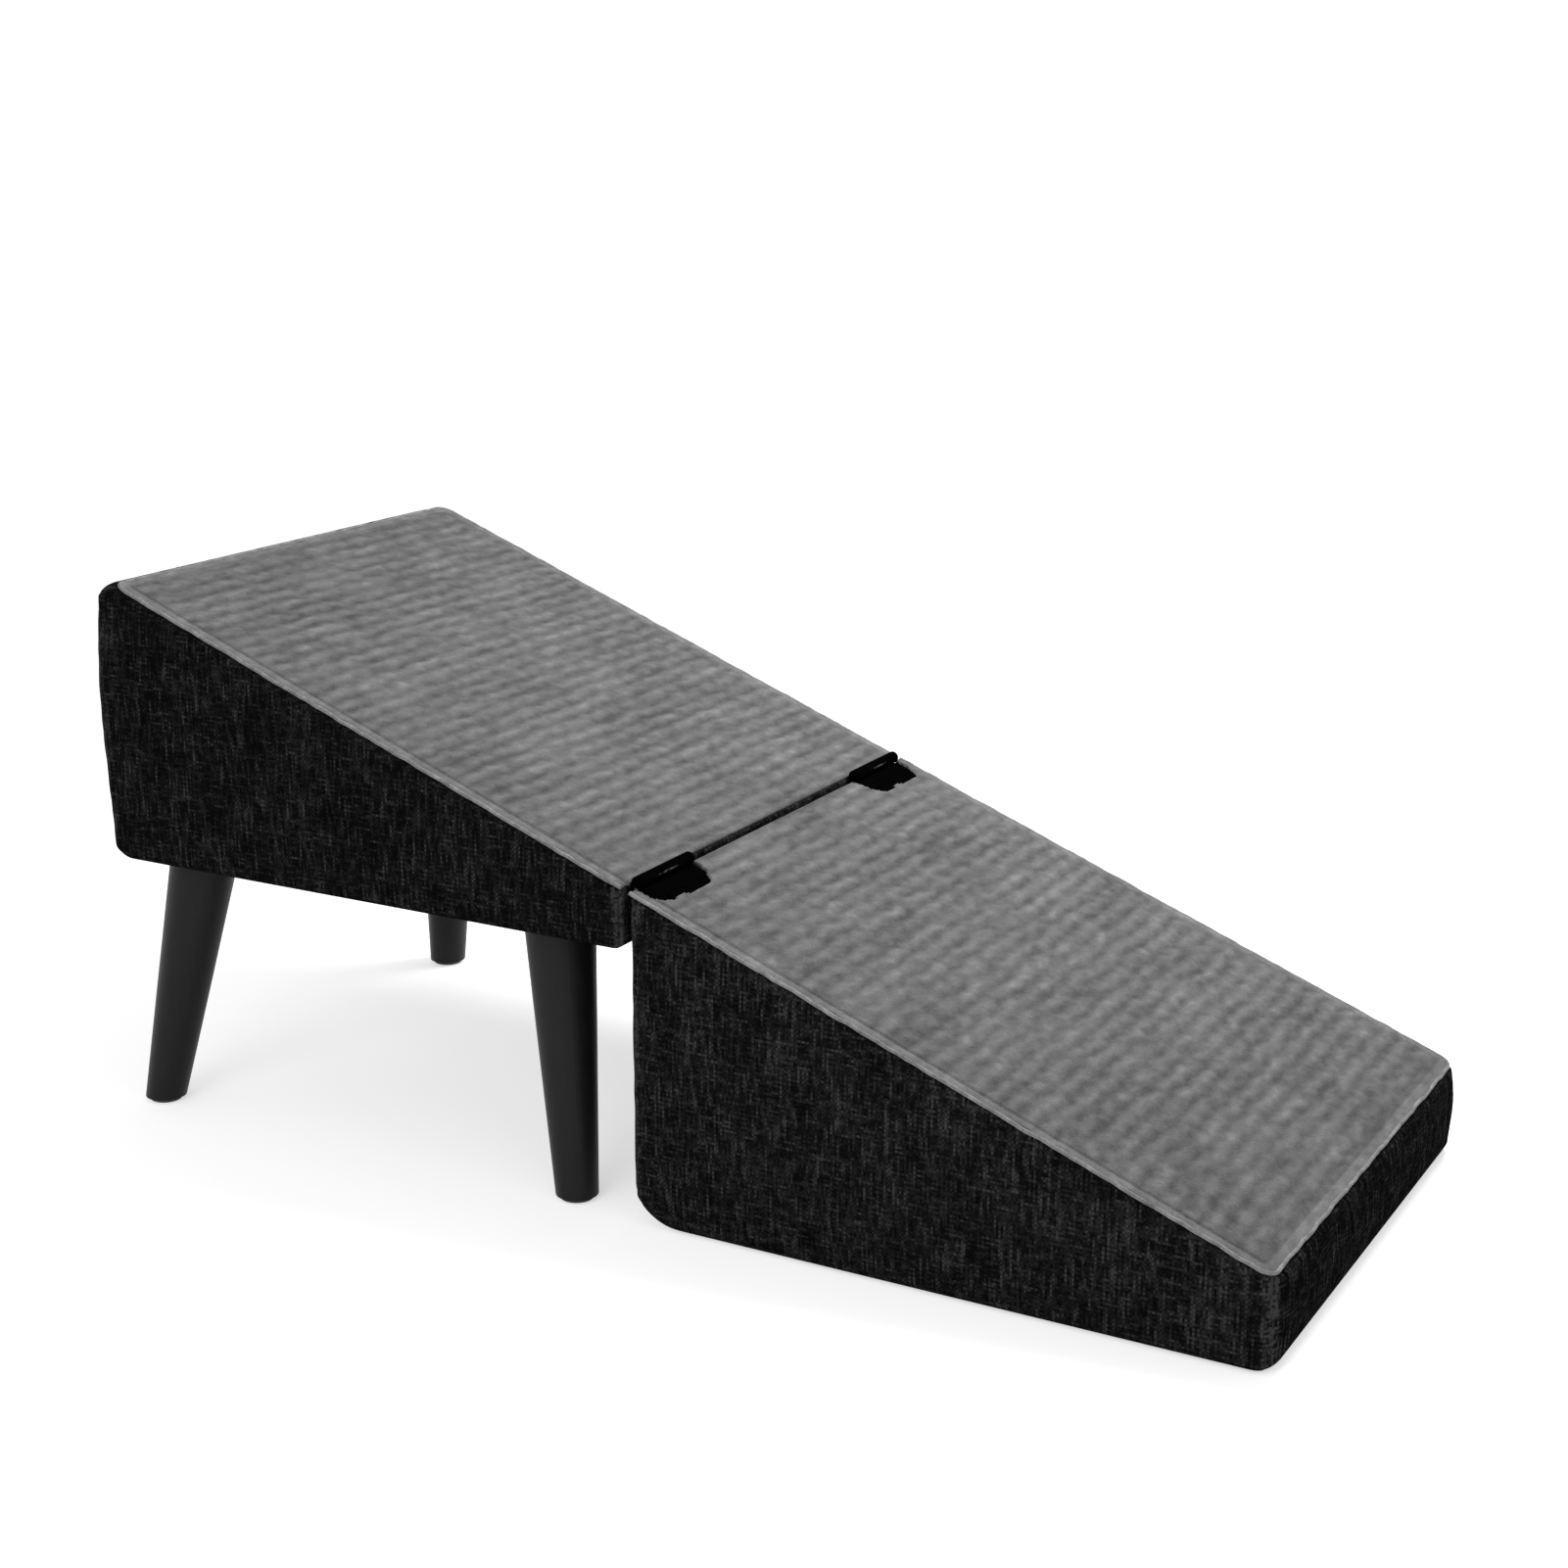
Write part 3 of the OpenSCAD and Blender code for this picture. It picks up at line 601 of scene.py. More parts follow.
# %% [markdown]
# ## The linen covers
#
# A cover is cut as one band round the four sides and one panel on top, sewn inside out, pulled over
# the foam and stapled underneath. It could be a box with bevelled edges, but its edges have seven
# different roundings that flow into each other. So it is woven from rings instead: each ring is a
# rounded rectangle, and the stack of them runs from the hem, round the bottom edge, up the wall and
# over the top edge to a flange under the tread.

# %% What a section's cover needs to know
COLUMNS_CORNER = 12
COLUMNS_SIDE = 56
COLUMNS_END = 46
SIDE_BOTTOM_R = 6 * MM
SIDE_TOP_R = 2 * MM
HEM_W = 34 * MM
CORNER_PULL = 0.62


def tangent(r, corner):
    """How far a rounding of radius r reaches along the two faces of a corner."""
    return r / math.tan(corner / 2)


class Section:
    """Sizes of one section. Pairs are for its thick end and its thin end."""

    def __init__(self, name, bottom_r, top_r, upright_r, crowning, joint_end):
        low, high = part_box(name + "_cover")
        self.name = name
        self.body = name + "_section"
        self.x = (low.x, high.x)
        self.half_w = high.y
        self.base = low.z
        self.bottom_r = bottom_r
        self.top_fall = (tangent(top_r[0], math.pi / 2 - SLOPE), tangent(top_r[1], math.pi / 2 + SLOPE))
        self.top_reach = tuple(fall * math.cos(SLOPE) for fall in self.top_fall)
        self.upright_r = upright_r
        self.joint_end = joint_end
        self.corner_pull = self.away_from_joint(CORNER_PULL)
        self.crowning = self.away_from_joint(crowning)

    def away_from_joint(self, size):
        return (size, 0) if self.joint_end else (0, size)


UPPER = Section(
    "upper", bottom_r=(18 * MM, 9 * MM), top_r=(18 * MM, 1.5 * MM), upright_r=(18 * MM, 8 * MM),
    crowning=4.5 * MM, joint_end=1,
)
LOWER = Section(
    "lower", bottom_r=(34 * MM, 10 * MM), top_r=(1.5 * MM, 5 * MM), upright_r=(8 * MM, 18 * MM),
    crowning=2 * MM, joint_end=0,
)
print("sections:", [round(x, 4) for x in (*UPPER.x, *LOWER.x)])


# %% A ring: a rounded rectangle with its own inset on each side
def corner_turn():
    """Angles of a corner's columns from its middle, closest together at the seam in the middle."""
    t = np.linspace(-1, 1, COLUMNS_CORNER + 1)
    return np.radians(45) * t * (0.45 + 0.55 * t * t)


def ring(section, thick_inset, thin_inset, side_inset, radii):
    """Points x, y and outward directions of one ring, anticlockwise from above."""
    x0, x1 = section.x[0] + thick_inset, section.x[1] - thin_inset
    y = section.half_w - side_inset
    corners = [(x0, -y, 225, 0), (x1, -y, 315, 1), (x1, y, 45, 1), (x0, y, 135, 0)]
    arcs = []
    for cx, cy, middle, end in corners:
        angle = math.radians(middle) + corner_turn()
        out_x, out_y = np.cos(angle), np.sin(angle)
        r = radii[end]
        arcs.append(np.stack([
            cx - math.copysign(r, out_x.sum()) + r * out_x,
            cy - math.copysign(r, out_y.sum()) + r * out_y,
            out_x, out_y,
        ], axis=1))
    points = []
    for i, arc in enumerate(arcs):
        start, stop = arc[-1], arcs[(i + 1) % 4][0]
        count = COLUMNS_SIDE if i % 2 == 0 else COLUMNS_END
        t = np.linspace(0, 1, count + 1)[1:-1, None]
        t = t - np.sin(2 * math.pi * t) * 0.09
        straight = start + (stop - start) * t
        straight[:, 2:] = start[2:]
        points += [arc, straight]
    return np.roll(np.concatenate(points), -(COLUMNS_CORNER // 2), axis=0)


print("a ring has", len(ring(UPPER, 0, 0, 0, UPPER.upright_r)), "points")


# %% Heights of the underside and of the top of a cover
def slope_height(x, level):
    return (level - square[0] * x) / square[2]


def fall(inset, reach, depth):
    """How far a rounded edge has fallen at an inset, when it reaches so far in and so far down."""
    left = (reach - np.clip(inset, 0, reach)) / reach
    return depth * (1 - np.sqrt(1 - left * left))


print(f"at the joint the slope is {slope_height(0, cover_level) / MM:.1f} mm above the floor")


def end_inset(section, end, x, y):
    """Distance inside an end. The padded corners count as nearer, so that they come out like balls."""
    r = section.upright_r[end]
    into_corner = np.clip(r - (section.half_w - np.abs(y)), 0, r)
    cut_off = r - np.sqrt(r * r - into_corner ** 2)
    return np.abs(x - section.x[end]) - section.corner_pull[end] * cut_off


def under_height(section, x, y):
    """The base, rising towards both ends and both sides."""
    height = section.base + fall(section.half_w - np.abs(y), SIDE_BOTTOM_R, SIDE_BOTTOM_R)
    for end, r in enumerate(section.bottom_r):
        height = height + fall(end_inset(section, end, x, y), r, r)
    return height


def top_height(section, x, y):
    """The slope, turning down over its rounded ends and sides."""
    height = slope_height(x, cover_level) - fall(section.half_w - np.abs(y), SIDE_TOP_R, SIDE_TOP_R)
    for end in (0, 1):
        height = height - fall(end_inset(section, end, x, y), section.top_reach[end], section.top_fall[end])
    return height


# %% The stack of rings that makes a cover
def cover_grid(section, hem_rows=3, round_rows=7, wall_rows=24, crown_rows=8):
    """Points of the cover in rows and columns, the distance up the cloth and outward directions."""
    rows = []

    def lay(insets, height):
        radii = [max(section.upright_r[e] - (insets[e] + insets[2]) / 2, 3 * MM) for e in (0, 1)]
        flat = ring(section, *insets, radii)
        rows.append(np.column_stack([flat[:, :2], height(section, flat[:, 0], flat[:, 1])]))

    low_reach = np.array([*section.bottom_r, SIDE_BOTTOM_R])
    for t in np.linspace(0, 1, hem_rows + 1)[:-1]:
        lay(np.maximum(HEM_W + 4 * MM, low_reach) * (1 - t) + low_reach * t, under_height)
    for angle in np.linspace(0, math.pi / 2, round_rows + 1):
        lay(low_reach * (1 - math.sin(angle)), under_height)

    edge = ring(section, 0, 0, 0, section.upright_r)
    outward = np.column_stack([edge[:, 2:], np.zeros(len(edge))])
    crowning = np.where(outward[:, 0] < 0, *section.crowning) * np.abs(outward[:, 0]) ** 0.7
    foot = rows[-1][:, 2]
    brow = top_height(section, edge[:, 0], edge[:, 1])
    for t in np.linspace(0, 1, wall_rows + 1)[1:-1]:
        wall = np.column_stack([edge[:, :2], foot + (brow - foot) * t])
        rows.append(wall + outward * (crowning * math.sin(math.pi * t ** 1.3))[:, None])

    top_reach = np.array([*section.top_reach, SIDE_TOP_R])
    for angle in np.linspace(0, math.pi / 2, crown_rows + 1):
        lay(top_reach * (1 - math.cos(angle)), top_height)
    for extra in (8 * MM, 42 * MM):
        lay(top_reach + extra, top_height)

    grid = np.array(rows)
    steps = np.linalg.norm(np.diff(grid, axis=0), axis=2)
    climb = np.concatenate([np.zeros((1, grid.shape[1])), np.cumsum(steps, axis=0)])
    wall_start = hem_rows + round_rows
    climb += foot - climb[wall_start]
    rows_of = {"wall": wall_start, "crown": wall_start + wall_rows}
    return grid, climb, outward, rows_of


def grid_faces(rows, columns):
    """Squares between rows of points, where each row closes on itself."""
    faces = []
    for first in range(0, (rows - 1) * columns, columns):
        for c in range(columns):
            d = (c + 1) % columns
            faces.append((first + c, first + d, first + columns + d, first + columns + c))
    return faces


print("a cover has", cover_grid(UPPER)[0].shape[0], "rings")


# %% [markdown]
# ### Letting the foam push
#
# Foam under a tight cover swells most in the middle of a wall and not at all at its edges. Blender's
# Cloth finds that shape: the hem, the flange and the face at the joint are held, and a light
# pressure from inside fills the rest. The push is then limited, because sewn linen gives little,
# and the cover keeps clear of the other section.

# %% Cloth simulation of a cover
END_BULGE = 3.5 * MM
SIDE_BULGE = 2.6 * MM
STEPS = 16


def held_points(section, grid, outward, rows_of):
    """True where the cloth can't move: turned edges, upright corners and the face at the joint."""
    held = np.zeros(grid.shape[:2], bool)
    held[: rows_of["wall"]] = True
    held[rows_of["crown"]:] = True
    held[:, np.minimum(np.abs(outward[:, 0]), np.abs(outward[:, 1])) > 0.2] = True
    joint_x = section.x[section.joint_end]
    held |= np.abs(grid[:, :, 0] - joint_x) < 3 * MM
    return held


def pushed_out(section, grid, outward, rows_of):
    rows, columns = grid.shape[:2]
    last = (rows - 1) * columns
    lids = [tuple(reversed(range(columns))), tuple(range(last, last + columns))]
    faces = grid_faces(rows, columns) + lids
    cloth = bpy.data.objects.new("cloth", mesh_of("cloth", grid.reshape(-1, 3), faces))
    bpy.context.scene.collection.objects.link(cloth)
    held = cloth.vertex_groups.new(name="held")
    held.add(np.flatnonzero(held_points(section, grid, outward, rows_of)).tolist(), 1.0, "REPLACE")
    settings = cloth.modifiers.new("cloth", "CLOTH").settings
    settings.quality = 3
    settings.mass = 0.25
    settings.tension_stiffness = settings.compression_stiffness = 30
    settings.shear_stiffness = 15
    settings.bending_stiffness = 1.5
    settings.air_damping = 4
    settings.use_pressure = True
    settings.uniform_pressure_force = 4
    settings.vertex_group_mass = "held"
    settings.effector_weights.gravity = 0
    for step in range(1, STEPS + 1):
        bpy.context.scene.frame_set(step)
    after = np.empty(rows * columns * 3)
    cloth.evaluated_get(bpy.context.evaluated_depsgraph_get()).data.vertices.foreach_get("co", after)
    bpy.data.objects.remove(cloth)
    bpy.context.scene.frame_set(1)
    move = after.reshape(grid.shape) - grid
    inwards = np.minimum((move * outward).sum(axis=2, keepdims=True), 0)
    move = move - inwards * outward
    reach = np.linalg.norm(move, axis=2, keepdims=True)
    most = (SIDE_BULGE + (END_BULGE - SIDE_BULGE) * np.abs(outward[:, 0]) ** 3)[None, :, None]
    limited = grid + move * np.tanh(reach / most) * most / np.maximum(reach, 1e-9)
    print(f"{section.name} cover pushed out {reach.max() / MM:.1f} mm, limited to "
          f"{np.linalg.norm(limited - grid, axis=2).max() / MM:.1f} mm")
    return limited


# %% [markdown]
# ### Seams and puckers
#
# The band's panels meet at the four upright corners. A seam pulls a narrow groove there, and the
# thread gathers the linen beside it into small puckers. Both are moves of the columns nearest to
# the seam, which is why the columns stand closest together there.

# %% Corner seams
GROOVE_DEPTH = 0.9 * MM
LIP_HEIGHT = 0.35 * MM
PUCKER_HEIGHT = 0.35 * MM
PUCKER_PITCH = 11 * MM


def swell(distance, middle, width):
    """1 at a distance of middle, falling away over the width on both sides."""
    return np.exp(-(((distance - middle) / width) ** 2))


def seam_distance(section, outward):
    """How far the columns of a corner stand from its seam."""
    off = np.abs(np.abs(np.arctan2(outward[:, 1], np.abs(outward[:, 0]))) - math.pi / 4)
    r = np.where(outward[:, 0] < 0, section.upright_r[0], section.upright_r[1])
    return off * r


def sewn(section, grid, outward, rows_of):
    distance = seam_distance(section, outward)[None, :]
    wall = np.zeros(grid.shape[0])
    wall[rows_of["wall"] - 3: rows_of["crown"] + 3] = 1
    wall = wall[:, None]
    groove = GROOVE_DEPTH * swell(distance, 0, 1.1 * MM)
    lips = LIP_HEIGHT * swell(distance, 2.6 * MM, 1.3 * MM)
    height = grid[:, :, 2]
    gather = np.sin(height * 2 * math.pi / PUCKER_PITCH + 1.3 * np.sin(height * 97))
    side = np.sign(outward[:, 1] ** 2 - outward[:, 0] ** 2)[None, :]
    puckers = PUCKER_HEIGHT * gather * side * swell(distance, 3 * MM, 4 * MM)
    move = (lips - groove + puckers) * wall
    return grid + outward[None, :, :] * move[:, :, None]


# %% Sew a cover from its grid
LINEN_T = 1.2 * MM
SEAM_HIGHLIGHT_W = 5 * MM


def under_tread(edge):
    """True for the rim of the flange, which lies on the slope under the tread."""
    return all(end.co.dot(Vector(square)) > cover_level - 0.2 * MM for end in edge.verts)


def make_cover(section):
    grid, climb, outward, rows_of = cover_grid(section)
    rows, columns = grid.shape[:2]
    grid = pushed_out(section, grid, outward, rows_of)
    grid = sewn(section, grid, outward, rows_of)
    mesh = mesh_of(section.name + "_linen", grid.reshape(-1, 3), grid_faces(rows, columns))

    edge = ring(section, 0, 0, 0, section.upright_r)[:, :2]
    run = np.linalg.norm(np.diff(np.vstack([edge, edge[:1]]), axis=0), axis=1)
    along = np.concatenate([[0], np.cumsum(run)])
    uv = mesh.uv_layers.new(name="cloth")
    values = []
    for r in range(rows - 1):
        for c in range(columns):
            d = (c + 1) % columns
            values += [along[c], climb[r, c], along[c + 1], climb[r, d],
                       along[c + 1], climb[r + 1, d], along[c], climb[r + 1, c]]
    uv.data.foreach_set("uv", values)
    # The seam attribute says where the linen's painted highlight lies beside the corner seams.
    seam = mesh.attributes.new("seam", "FLOAT", "POINT")
    near = swell(seam_distance(section, outward), 0, SEAM_HIGHLIGHT_W)
    seam.data.foreach_set("value", np.tile(near, rows).astype(np.float32))

    cover = piece(section.name + "_linen_cover", mesh, section.body)
    finer = cover.modifiers.new("finer", "SUBSURF")
    finer.levels = finer.render_levels = 1
    bake_modifiers(cover)
    fill_holes(cover.data, under_tread)
    thicken(cover, LINEN_T, -1)
    cover.data.shade_smooth()
    cover.data.materials.append(FINISHES["linen"])
    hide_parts(section.name + "_cover")
    return cover


covers = {section.name: make_cover(section) for section in (UPPER, LOWER)}

# %% [markdown]
# ### The foam behind the linen
#
# A strip of foam runs along both sides and round the end away from the joint. Nobody sees it, but
# a cover over nothing would be a lie, so it is made from the same rings, moved in by the linen.

# %% Foam strips
FOAM_T = 6.8 * MM
FOAM_BEHIND = LINEN_T + 0.4 * MM
FOAM_BELOW_EDGE = 5 * MM
FOAM_OFF_JOINT = 12 * MM


def make_foam(section):
    grid, _, outward, rows_of = cover_grid(section)
    towards_joint = outward[:, 0] * (1 if section.joint_end else -1)
    away = np.abs(grid[rows_of["wall"], :, 0] - section.x[section.joint_end]) > FOAM_OFF_JOINT
    keep = np.flatnonzero((towards_joint < 0.3) & away)
    breaks = np.flatnonzero(np.diff(keep) > 1)
    if len(breaks):
        keep = np.roll(keep, -(int(breaks[0]) + 1))
    strip = grid[rows_of["wall"]: rows_of["crown"] + 1][:, keep]
    strip = strip - outward[keep][None] * FOAM_BEHIND
    foot, tall = strip[0, :, 2], strip[-1, :, 2] - strip[0, :, 2]
    strip[:, :, 2] = foot + (strip[:, :, 2] - foot) * (1 - FOAM_BELOW_EDGE / tall)
    rows, columns = strip.shape[:2]
    faces = [f for f in grid_faces(rows, columns) if f[1] % columns]
    mesh = mesh_of("foam", strip.reshape(-1, 3), faces)
    foam = piece(section.name + "_foam", mesh, section.body)
    thicken(foam, FOAM_T, -1)
    foam.data.materials.append(FINISHES["foam"])
    foam.data.shade_smooth()
    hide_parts(section.name + "_padding")


for section in (UPPER, LOWER):
    make_foam(section)

# %% [markdown]
# ## The ribbed treads
#
# A tread is a mat of thick ribs across the way of walking, each rib a row of soft knobs. One long
# formula gives its height at any point, so a grid whose points are lifted by that formula is the
# natural way, and Geometry Nodes do it. The grid is first extruded down to the cover, which gives
# the mat its edges, and on the lower section it is cut away over the leaves of the hinges, in the
# shape of a tongue with a frayed edge.

# %% The tree of the ribbed pile
HEM_GROOVE_W = 0.9 * MM
HEM_GROOVE_DEPTH = 0.9 * MM


def pile_tree():
    tree, size = new_tree(
        "ribbed pile", Closed_End=float, Free_End=float, Half_Width=float, Corner=float, Cord=float,
        Hem=float, Thickness=float, Rib_Height=float, Rib_Pitch=float, Cell_Down=float,
        Cell_Across=float, Notch_End=float, Notch_Middle=float, Notch_Half_Width=float, Seed=float,
        Material=bpy.types.Material,
    )
    length = (size["Free_End"] - size["Closed_End"]).math("ABSOLUTE")
    grid = add(tree, "GeometryNodeMeshGrid", {
        "Size X": length, "Size Y": 2.0,
        "Vertices X": (length / size["Cell_Down"]).math("ROUND") + 1,
        "Vertices Y": (size["Half_Width"] * 2 / size["Cell_Across"]).math("ROUND") + 1,
    })
    middle = (size["Closed_End"] + size["Free_End"]) * 0.5
    lengthways, sideways, _ = split(tree, out(tree, "GeometryNodeInputPosition"))
    closer = sideways + (sideways * math.pi).math("SINE") * (0.4 / math.pi)
    spread = joined(tree, X=lengthways + middle, Y=closer * size["Half_Width"])
    sheet = add(tree, "GeometryNodeSetPosition", {"Geometry": grid.outputs["Mesh"], "Position": spread})

    s, y, _ = split(tree, out(tree, "GeometryNodeInputPosition"))
    from_side = (size["Corner"] - size["Half_Width"] + y.math("ABSOLUTE")).math("MAXIMUM", 0.0)
    from_end = (size["Corner"] - (s - size["Closed_End"]).math("ABSOLUTE")).math("MAXIMUM", 0.0)
    inside = size["Corner"] - (from_side * from_side + from_end * from_end).math("SQRT")

    def spots(x, per_metre_x, per_metre_y, seed, detail=1.0):
        spot = joined(tree, X=x * per_metre_x, Y=y * per_metre_y, Z=size["Seed"] + seed)
        return out(tree, "ShaderNodeTexNoise", {"Vector": spot, "Scale": 1.0, "Detail": detail})

    past_rim = inside.math("LESS_THAN", size["Cord"] * 0.66)
    in_reach = s.math("LESS_THAN", size["Notch_End"])
    along = ((s - size["Free_End"]) / (size["Notch_End"] - size["Free_End"])).math("MAXIMUM", 0.0)
    across = (y.math("ABSOLUTE") - size["Notch_Middle"]).math("ABSOLUTE") / size["Notch_Half_Width"]
    notch = along ** 2.2 + across ** 4.0 + (spots(s, 65.0, 65.0, 13.5) - 0.5) * 1.2 * along
    cut = add(tree, "GeometryNodeDeleteGeometry", {
        "Geometry": sheet.outputs[0],
        "Selection": past_rim.math("MAXIMUM", in_reach * notch.math("LESS_THAN", 1.0)),
    }, domain="FACE")
    base = size["Thickness"] - size["Rib_Height"]
    mat = add(tree, "GeometryNodeExtrudeMesh", {
        "Mesh": cut.outputs[0], "Offset": joined(tree, Z=base), "Offset Scale": 1.0, "Individual": False,
    }, mode="FACES")

    wander = (spots(s, 12.0, 20.0, 1.5) - 0.5) * 0.5 + (spots(s, 40.0, 75.0, 5.5) - 0.5) * 0.5
    turns = (s - size["Closed_End"]) / size["Rib_Pitch"] + wander
    ribs = 0.5 - (turns * (2 * math.pi)).math("COSINE") * 0.5
    firm = 0.68 + smooth_step(spots(s, 22.0, 22.0, 9.5), 0.35, 0.62) * 0.32
    ribs = 0.5 + (ribs - 0.5) * firm
    knob = smooth_step(spots(turns.math("FLOOR"), 5.3, 70.0, 7.5), 0.34, 0.62)
    lumps = smooth_step(spots(s, 150.0, 75.0, 3.5, 2.0), 0.32, 0.68)
    crest = (ribs ** 0.8) * (0.26 + knob * 0.24 + lumps * 0.24)
    field = smooth_step(inside, size["Hem"] - 1.2 * MM, size["Hem"] + 1.0 * MM)
    off_groove = (inside - size["Hem"]) / HEM_GROOVE_W
    groove = (-(off_groove * off_groove)).math("EXPONENT")
    free = smooth_step((s - size["Free_End"]).math("ABSOLUTE"), 0.0, 3.5 * MM)
    hem = (ribs * knob * 0.3 + lumps * 0.25) * (0.6 * MM)
    height = (crest * size["Rib_Height"]) * field + hem * (1 - field) - groove * HEM_GROOVE_DEPTH
    lift = joined(tree, Z=height * (0.25 + free * 0.75) - (1 - free) * (0.5 * MM))
    ribbed = add(tree, "GeometryNodeSetPosition", {
        "Geometry": mat.outputs["Mesh"], "Selection": mat.outputs["Top"], "Offset": lift,
    })
    # The crest attribute paints shade: darker in the valleys between ribs, in the hem groove and along the
    # free edge.
    shade = crest * field + (1 - field) * (0.45 + lumps * 0.25)
    marked = add(tree, "GeometryNodeStoreNamedAttribute", {
        "Geometry": ribbed.outputs[0], "Name": "crest",
        "Value": shade * (1 - groove * 0.8) * (0.4 + free * 0.6),
    }, data_type="FLOAT", domain="POINT")
    close_tree(tree, marked.outputs[0], size["Material"])
    return tree


PILE = pile_tree()
RIB_HEIGHT = 1.7 * MM
RIB_PITCH = 14 * MM
LEAF_MARGIN = 0.5 * MM
BARREL_MARGIN = 3 * MM
CORNER_R = 12 * MM
CORD_D = 2.8 * MM
HEM_STITCH = 10 * MM
print("pile tree:", len(PILE.nodes), "nodes")


# %% Lay a tread on each section
def span(node, direction):
    """Lowest and highest distance of a node's points along a direction."""
    reach = points_of(node) @ direction
    return reach.min(), reach.max()


def tread_rim(section):
    """Where the rim of a tread starts and ends down the slope, and half its width."""
    binding = section.name + "_tread_binding"
    return (*span(binding, down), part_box(binding)[1].y)


pin_low, pin_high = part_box("hinge_right_pin")
notch_end = span("hinge_right_lower_leaf", down)[1] + LEAF_MARGIN
notch_middle = (pin_low.y + pin_high.y) / 2
notch_half = (pin_high.y - pin_low.y) / 2 + BARREL_MARGIN


def laid(section, name, mesh):
    """A piece that was made in the tread's own directions, laid on the slope of its section."""
    mesh.transform(lay_on_slope)
    mesh.shade_smooth()
    return piece(f"{section.name}_{name}", mesh, section.body)


def make_tread(section):
    start, end, half = tread_rim(section)
    closed, free = (start, end) if section is UPPER else (end, start)
    mesh = grow(
        PILE, mesh_of("seed", []), Closed_End=closed, Free_End=free, Half_Width=half,
        Corner=CORNER_R, Cord=CORD_D, Hem=HEM_STITCH, Thickness=rib_level - cover_level,
        Rib_Height=RIB_HEIGHT, Rib_Pitch=RIB_PITCH, Cell_Down=1.35 * MM, Cell_Across=1.95 * MM,
        Notch_End=notch_end if section is LOWER else -1.0,
        Notch_Middle=notch_middle, Notch_Half_Width=notch_half,
        Seed=3.0 if section is UPPER else 11.0, Material=FINISHES["tread"],
    )
    fill_holes(mesh, lambda edge: True)
    tread = laid(section, "ribbed_tread", mesh)
    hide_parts(section.name + "_tread")
    return tread


treads = {section.name: make_tread(section) for section in (UPPER, LOWER)}

# %% [markdown]
# ## Piped edges
#
# The edge of the pile is turned under and a cord in its own sleeve, a piping, is sewn along three
# sides. It follows a path, so it is swept: a circle along a line with two rounded corners. A slow
# noise lets it wander by a fraction of a millimetre, as a sewn cord does.

# %% The tree of the piping
def piping_tree():
    tree, size = new_tree(
        "piping", Cord=float, Waviness=float, Step=float, Seed=float, Material=bpy.types.Material,
    )
    line = add(tree, "GeometryNodeMeshToCurve", {"Mesh": size["Geometry"]})
    even = add(tree, "GeometryNodeResampleCurve", {
        "Curve": line.outputs[0], "Length": size["Step"],
    }, mode="LENGTH")
    spot = add(tree, "GeometryNodeInputPosition")
    drift = add(tree, "ShaderNodeTexNoise", {
        "Vector": spot.outputs[0], "Scale": 75.0, "Detail": 2.0, "W": size["Seed"],
    }, noise_dimensions="4D")
    centred = add(tree, "ShaderNodeVectorMath", {
        0: drift.outputs["Color"], 1: (0.5, 0.5, 0.5),
    }, operation="SUBTRACT")
    scaled = add(tree, "ShaderNodeVectorMath", {
        0: centred.outputs[0], "Scale": size["Waviness"],
    }, operation="SCALE")
    wavy = add(tree, "GeometryNodeSetPosition", {"Geometry": even.outputs[0], "Offset": scaled.outputs[0]})
    ring_line = add(tree, "GeometryNodeCurvePrimitiveCircle", {
        "Resolution": 12, "Radius": size["Cord"] * 0.5,
    })
    cord = add(tree, "GeometryNodeCurveToMesh", {
        "Curve": wavy.outputs[0], "Profile Curve": ring_line.outputs[0], "Fill Caps": True,
    })
    close_tree(tree, cord.outputs[0], size["Material"])
    return tree


PIPING = piping_tree()
print("piping tree:", len(PIPING.nodes), "nodes")


# %% The line of the piping, and the two pipings
def edge_line(section, inset, height):
    """Points round three sides of a tread, so far inside its rim, in the tread's own directions."""
    start, end, half = tread_rim(section)
    half -= inset
    if section is UPPER:
        closed, free, sign = start + inset, end, 1
    else:
        closed, free, sign = end - inset, start, -1
    r = CORNER_R - inset
    turn = np.radians(np.linspace(0, 90, 9))
    first = [(closed + sign * r * (1 - math.sin(a)), -(half - r) - r * math.cos(a)) for a in turn]
    line = [(free, -half), *first, *[(x, -y) for x, y in reversed(first)], (free, half)]
    if section is LOWER:
        line.reverse()
    return [(x, y, height) for x, y in line]


def chain(points):
    return mesh_of("line", points, edges=[(i, i + 1) for i in range(len(points) - 1)])


def make_piping(section):
    mesh = grow(
        PIPING, chain(edge_line(section, CORD_D / 2, CORD_D / 2)), Cord=CORD_D, Waviness=2.2 * MM,
        Step=2.5 * MM, Seed=2.0 if section is UPPER else 5.0, Material=FINISHES["binding"],
    )
    made = laid(section, "tread_piping", mesh)
    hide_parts(section.name + "_tread_binding")
    return made


pipings = {section.name: make_piping(section) for section in (UPPER, LOWER)}

# %% [markdown]
# ## Stitches
#
# One row of stitches holds the turned edge down, in the groove that it pulls. A stitch is a short
# thick thread, and there are hundreds, so one is made once and set on evenly spaced points of the
# same line, further in.

# %% The tree of a row of stitches
def points_along(tree, line, pitch):
    """Evenly spaced points along a line of edges, turned the way the line runs."""
    curve = add(tree, "GeometryNodeMeshToCurve", {"Mesh": line})
    flat = add(tree, "GeometryNodeSetCurveNormal", {"Curve": curve.outputs[0]}, mode="Z_UP")
    inputs = {"Curve": flat.outputs[0], "Length": pitch}
    return add(tree, "GeometryNodeCurveToPoints", inputs, mode="LENGTH")


